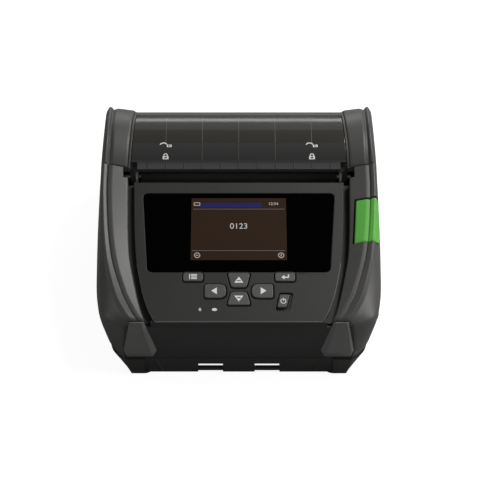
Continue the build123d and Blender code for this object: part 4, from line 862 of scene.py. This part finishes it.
outer_rows = [BASE_FRONT, -79.0] + stations(FRONT_PLATE_Y, -40, 1.2) + stations(-34, 60, 6)
outer_rows += stations(61.5, HALF_DEPTH, 1.5)
inner_rows = stations(BASE_FRONT + WALL, -40, 2) + stations(-34, 60, 8)
inner_rows += stations(62, HALF_DEPTH - WALL, 2)
base_outer = skin([base_ring(y) for y in outer_rows])
base_inner = skin([base_ring(y, WALL, 2.7, 12.5) for y in inner_rows])
base_body = boolean(base_outer, [base_inner, box(-49.8, 49.8, -82, BASE_FACE, 0, 12)])
pocket = box(-28.2, 28.2, BASE_FACE, BASE_FACE + 9.0, BASE_LIFT, 8.6)
base_body = boolean(base_body, [pocket], "UNION")
slots = [box(x - 6.6, x + 6.6, BASE_FACE - 1, BASE_FACE + 7.5, 0, 7.0) for x in STRAP_PLACES]
slots.append(box(-45.3, 45.3, -67.8, -10.2, 0, 3.7))
slots += [disc(x, y, 4.62, 0, 1.8) for x, y in FOOT_PLACES]
slots += [disc(x, y, 3.0, 0, 2.6) for x, y in SCREW_PLACES]
base_body = boolean(base_body, slots)
strap_bar = oblong(BASE_FACE, BASE_FACE + 2.0, 1.9, 3.7)
bars = [prism(strap_bar, x - 6.7, x + 6.7) for x in STRAP_PLACES]
rib = skin([[(x + out, BASE_FACE + deep, z) for out, deep in RIB_SECTION] for x, z in RIB_ENDS])
base_parts = [base_body] + bars + [mirrored(rib), rib]
piece("base_skin", base_parts, "printer_body", base_grey, ["base_shell"], sharp=30)

# Corner bumpers, from the top down
bumper_rows = [
    (38.8, [(50.4, -79.2), (55.8, -79.0), (56.6, -78.5), (48.9, -78.4)]),
    (17.7, [(45.7, -80.9), (59.0, -80.6), (60.4, -78.5), (42.9, -78.4)]),
    (13.2, [(46.4, -79.0), (58.2, -79.0), (59.0, -78.5), (44.8, -78.4)]),
]
bumper = skin([[(x, y, z) for x, y in points] for z, points in bumper_rows])
for name, mesh in (("right", bumper), ("left", mirrored(bumper))):
    node = "corner_bumper_" + name
    piece("bumper_" + name, [mesh], "printer_body", bumper_grey, [node], bevel=0.12)

# Cover: wings, side walls, rear skin, rails, ears, knuckles and keeper. The wing's section is (x, radius)
WING = [
    (57.5, 35.0), (57.5, 37.0), (58.6, 37.0), (58.6, 36.3), (58.95, 36.3), (58.95, 37.55), (59.7, 37.95),
    (68.6, 39.1), (70.6, 38.4), (71.4, 38.4), (72.6, 39.85), (74.1, 40.1), (75.6, 37.2), (75.6, 36.0),
]
WING_CUTS = [0, 0.3, 0.15, 0, 0, 0.3, 0.5, 0.8, 0.4, 0.35, 0.5, 1.0, 0.6, 0]
WING_INNER, WING_CREST = 59.7, 68.6
WING_IN_FRONT = 1.9
WING_START, WING_TURN = 131.9, 129.9
LEAN, LEAN_FROM, LEAN_TO = 1.6, 62.0, 80.0
wing_shape = rounded(WING, WING_CUTS, steps=5)


def wing_spread(angle):
    """How far the wings' inner edges have moved out at this angle, in degrees: most at the front."""
    return WING_IN_FRONT * max(0.0, (angle - 67) / 65) ** 1.3


def lean(z):
    """How far the wings' outer faces lean in at this height."""
    return LEAN * clamped((z - LEAN_FROM) / (LEAN_TO - LEAN_FROM)) ** 1.4


def place_lean(u, v, w):
    """As place_side, with the lean taken off the place across."""
    return (w - lean(v), u, v)


def arc_place(x, radius, angle):
    """A point about the cover's axis."""
    return (x, COVER_Y + radius * math.cos(angle), COVER_Z + radius * math.sin(angle))


def arc_ends(radius):
    """The angles of the cover's side at this radius: at its front edge and low at its rear."""
    return math.acos((COVER_FRONT_Y - COVER_Y) / radius), math.asin((COVER_LOW_Z - COVER_Z) / radius)


def wing_row(t, drop=0.0):
    """The wing in section, from its front end at t = 0 to its rear end at t = 1."""
    row = []
    spread = wing_spread(WING_START - WING_TURN * t)
    for x, r in wing_shape:
        x += spread * clamped((WING_CREST - x) / (WING_CREST - WING_INNER))
        radius = r - (drop if r > COVER_R else 0)
        start, end = arc_ends(radius)
        x, y, z = arc_place(x, radius, start + (end - start) * t)
        row.append((x - lean(z) * clamped((x - WING_CREST) / 5.0), y, z))
    return row


def sheet_row(angle, half, low, high):
    """One row of a curved sheet about the cover's axis, between two radii, at an angle in degrees."""
    corners = [(-half, low), (-half, high), (half, high), (half, low)]
    section = rounded(corners, [0.15, 0.3, 0.3, 0.15], 2)
    return [arc_place(x, r, math.radians(angle)) for x, r in section]


def arc_strip(low, high, start, end):
    """A curved sheet as wide as the rails, between two radii and two angles."""
    return skin([sheet_row(angle, RAIL_HALF, low, high) for angle in stations(start, end, 1.5)])


wing_rows = [wing_row(0.0, 0.5), wing_row(0.002, 0.2), wing_row(0.005, 0.04)]
wing = skin(wing_rows + [wing_row(t) for t in stations(0.009, 1.0, 0.0125)])
arc_start, arc_end = arc_ends(COVER_WALL_R)
wall_turns = [arc_start + (arc_end - arc_start) * k / 60 for k in range(61)]
wall_arc = [arc_place(0, COVER_WALL_R, turn)[1:] for turn in wall_turns]
front_edge = [(COVER_FRONT_Y, z) for z in stations(COVER_LOW_Z, wall_arc[0][1], 2.0)[:-1]]
side_wall = flat(front_edge + wall_arc, 73.1, 75.6, place_lean)
rails = [arc_strip(33.1, 34.9, 134.6, 124), arc_strip(33.3, 34.9, 74, 66)]
piece("cover_rails", rails, "cover", inner_black)

EAR = [
    (10.8, 57), (10.8, 66.6), (13.5, 69.4), (17.0, 71.6), (21.6, 73.4), (21.6, 57), (19.5, 52.6),
    (16, 51.4), (12.5, 52.6),
]
COVER_WEB = [(69.2, 42.7), (68.6, 48.3), (HINGE_Y, 47.3), (HINGE_Y - 2.2, 42.6)]
cover_parts = [wing, mirrored(wing), side_wall, mirrored(side_wall), arc_strip(34.9, 36.9, 69.4, 2.1)]
for side in (-1, 1):
    low, high = sorted((side * 56.6, side * 59.6))
    platen_hole = circle(PLATEN_Y, PLATEN_Z, 4.0, 40)
    cover_parts.append(flat(EAR, low, high, place_side, [platen_hole], bevel=0.15))
    low, high = sorted((side * 30.9, side * 39.9))
    cover_parts.append(knuckle(low, high))
    cover_parts.append(flat(COVER_WEB, low, high, place_side, bevel=0.1))
keeper = box(66.0, 74.6, 11.0, 14.0, 55.1, 57.1)
piece("cover_skin", cover_parts + [keeper], "cover", guard_grey, ["cover_frame"], sharp=32)

# Clear window: its front lip starts at a fine crease, and its rear corners are rounded
LIP_ANGLE = 126.6
WINDOW_REAR = 70.0
front_angle = math.degrees(math.acos((8.7 - COVER_Y) / COVER_R))


def window_row(angle, half, radius=COVER_R):
    return sheet_row(angle, half, radius - 2, radius)


window_rows = [window_row(angle, 55.5) for angle in stations(front_angle - 0.3, LIP_ANGLE + 0.5, 1.0)]
window_rows.append(window_row(LIP_ANGLE + 0.3, 55.5, 36.8))
window_rows.append(window_row(LIP_ANGLE + 0.29, 58.6, 36.8))
window_rows.append(window_row(LIP_ANGLE, 58.9))
for angle in stations(LIP_ANGLE - 0.5, WINDOW_REAR, 1.0):
    pull = round_in(math.radians(angle - WINDOW_REAR) * COVER_R, 2.6)
    window_rows.append(window_row(angle, WINDOW_HALF + wing_spread(angle) - pull))
piece("window_sheet", [skin(window_rows)], "cover", smoke_with_painted_bands, ["cover_window"], sharp=40)


# Ruler ticks, a line beside each, and fine lines further back
def arc_bar(x, half, start, end):
    """A printed line along the window's curve."""
    section = oblong(x - half, x + half, COVER_R - 0.02, COVER_R + 0.02)
    turns = [math.radians(angle) for angle in stations(start, end, 2.0)]
    return skin([[arc_place(u, r, turn) for u, r in section] for turn in turns])


TICK_PITCH = 10
ticks = range(-5, 6)
short_ticks = [arc_bar(n * TICK_PITCH, 0.22, 132.6, 127.2) for n in ticks]
tick_edges = [arc_bar(n * TICK_PITCH + 0.42, 0.12, 132.2, 127.4) for n in ticks]
tick_edges += [arc_bar(n * 2 * TICK_PITCH, 0.13, 109, 76) for n in (-2, -1, 0, 1, 2)]
tick_edges += [arc_bar(n * 2 * TICK_PITCH, 0.09, 125.5, 110) for n in (-1, 0, 1)]
piece("window_ticks", short_ticks, "cover", tick_dark)
piece("window_lines", tick_edges, "cover", tick_grey)


# Lock and lever signs on the window, as outlines around their middle with a hole or none
def arc_icon(outline, hole, x, angle):
    def place(u, v, w):
        return arc_place(x + u, COVER_R + w, math.radians(angle) - v / COVER_R)

    return flat(outline, 0.01, 0.04, place, [hole] if hole else [])


def arch(u, v, across, up, steps):
    """Points of a half ellipse, at these eighths of its turn from the right."""
    return [(u + across * math.cos(math.pi * k / 8), v + up * math.sin(math.pi * k / 8)) for k in steps]


shackle = [(-1.2, 0.3)] + arch(0, 0.9, 1.2, 1.0, range(8, -1, -1)) + [(1.2, 0.3)]
shackle += [(0.65, 0.3)] + arch(0, 0.85, 0.65, 0.55, range(9)) + [(-0.65, 0.3)]
lever = [(-3.4, 0.2)] + arch(-1.2, -0.2, 2.2, 1.9, range(7, 0, -1)) + arch(-1.2, -0.2, 1.6, 1.3, range(1, 8))
lock_marks = [(oblong(-1.6, 1.6, -1.5, 0.3), oblong(-0.7, 0.7, -1.0, -0.2)), (shackle, None)]
lever_marks = [(lever, None), (oblong(0.6, 3.2, -1.2, 0.2), oblong(1.2, 2.6, -0.8, -0.2))]
icon_meshes = []
for x in (-40, 40):
    icon_meshes += [arc_icon(outline, hole, x, 122.0) for outline, hole in lock_marks]
    icon_meshes += [arc_icon(outline, hole, x, 111.3) for outline, hole in lever_marks]
piece("window_icons", icon_meshes, "cover", print_and_glow_white)


# Floor and world: the camera's own rays see both as white
def seen_by_camera(tree, plain, seen):
    """A mix that shows one shader to the camera's own rays, and the plain one to all others."""
    rays = tree.nodes.new("ShaderNodeLightPath")
    pick = tree.nodes.new("ShaderNodeMixShader")
    tree.links.new(rays.outputs["Is Camera Ray"], pick.inputs["Fac"])
    tree.links.new(plain, pick.inputs[1])
    tree.links.new(seen, pick.inputs[2])
    return pick.outputs["Shader"]


floor_mesh = bpy.data.meshes.new("floor")
floor_mesh.from_pydata([(-6, -6, 0), (6, -6, 0), (6, 6, 0), (-6, 6, 0)], [], [(0, 1, 2, 3)])
floor = bpy.data.objects.new("floor", floor_mesh)
scene = bpy.context.scene
scene.collection.objects.link(floor)
floor_look = bpy.data.materials.new("floor")
floor_look.use_nodes = True
tree = floor_look.node_tree
base = tree.nodes["Principled BSDF"]
base.inputs["Base Color"].default_value = (0.35, 0.35, 0.35, 1)
base.inputs["Roughness"].default_value = 0.9
base.inputs["Specular IOR Level"].default_value = 0.1
bright = tree.nodes.new("ShaderNodeEmission")
bright.inputs["Color"].default_value = (1, 1, 1, 1)
bright.inputs["Strength"].default_value = 0.90
both = tree.nodes.new("ShaderNodeAddShader")
tree.links.new(base.outputs["BSDF"], both.inputs[0])
tree.links.new(bright.outputs["Emission"], both.inputs[1])
floor_shader = seen_by_camera(tree, base.outputs["BSDF"], both.outputs["Shader"])
tree.links.new(floor_shader, tree.nodes["Material Output"].inputs["Surface"])
floor_mesh.materials.append(floor_look)

world = bpy.data.worlds.new("surround")
scene.world = world
world.use_nodes = True
tree = world.node_tree
back = tree.nodes["Background"]
back.inputs["Color"].default_value = (1, 1, 1, 1)
back.inputs["Strength"].default_value = 0.12
seen = tree.nodes.new("ShaderNodeBackground")
seen.inputs["Color"].default_value = (1, 1, 1, 1)
seen.inputs["Strength"].default_value = 1.0
world_shader = seen_by_camera(tree, back.outputs["Background"], seen.outputs["Background"])
tree.links.new(world_shader, tree.nodes["World Output"].inputs["Surface"])


# Lights and camera
def aim(obj, target):
    obj.rotation_euler = (Vector(target) - obj.location).to_track_quat("-Z", "Y").to_euler()


def area(name, place, target, size, power, colour=(1, 1, 1)):
    light = bpy.data.lights.new(name, "AREA")
    light.shape = "RECTANGLE"
    light.size, light.size_y = size
    light.energy = power
    light.color = colour
    obj = bpy.data.objects.new(name, light)
    obj.location = place
    scene.collection.objects.link(obj)
    aim(obj, target)
    return obj


area("key", (0.42, 0.24, 0.80), (0, -0.01, 0.05), (0.34, 0.30), 5.5, (1.0, 0.99, 0.97))
area("side", (0.95, -0.18, 0.30), (0.03, -0.04, 0.04), (0.25, 0.4), 3.6, (1.0, 0.99, 0.97))
area("rear", (0.0, 1.25, 0.50), (0, 0.03, 0.07), (1.4, 0.22), 4.5)
area("left", (-0.9, -0.35, 0.45), (0, 0, 0.03), (0.3, 0.5), 1.3)
area("front", (0.15, -1.0, 0.40), (0, 0, 0.03), (0.6, 0.3), 0.4)

camera_data = bpy.data.cameras.new("camera")
camera_data.lens = 111.05
camera_data.sensor_width = 36.0
camera_data.shift_x = 0.0025
camera_data.shift_y = -0.0452
camera = bpy.data.objects.new("camera", camera_data)
camera.location = (0, -0.6094, 0.5887)
scene.collection.objects.link(camera)
aim(camera, (0, 0, 0.040))
scene.camera = camera
scene.view_settings.view_transform = "Standard"
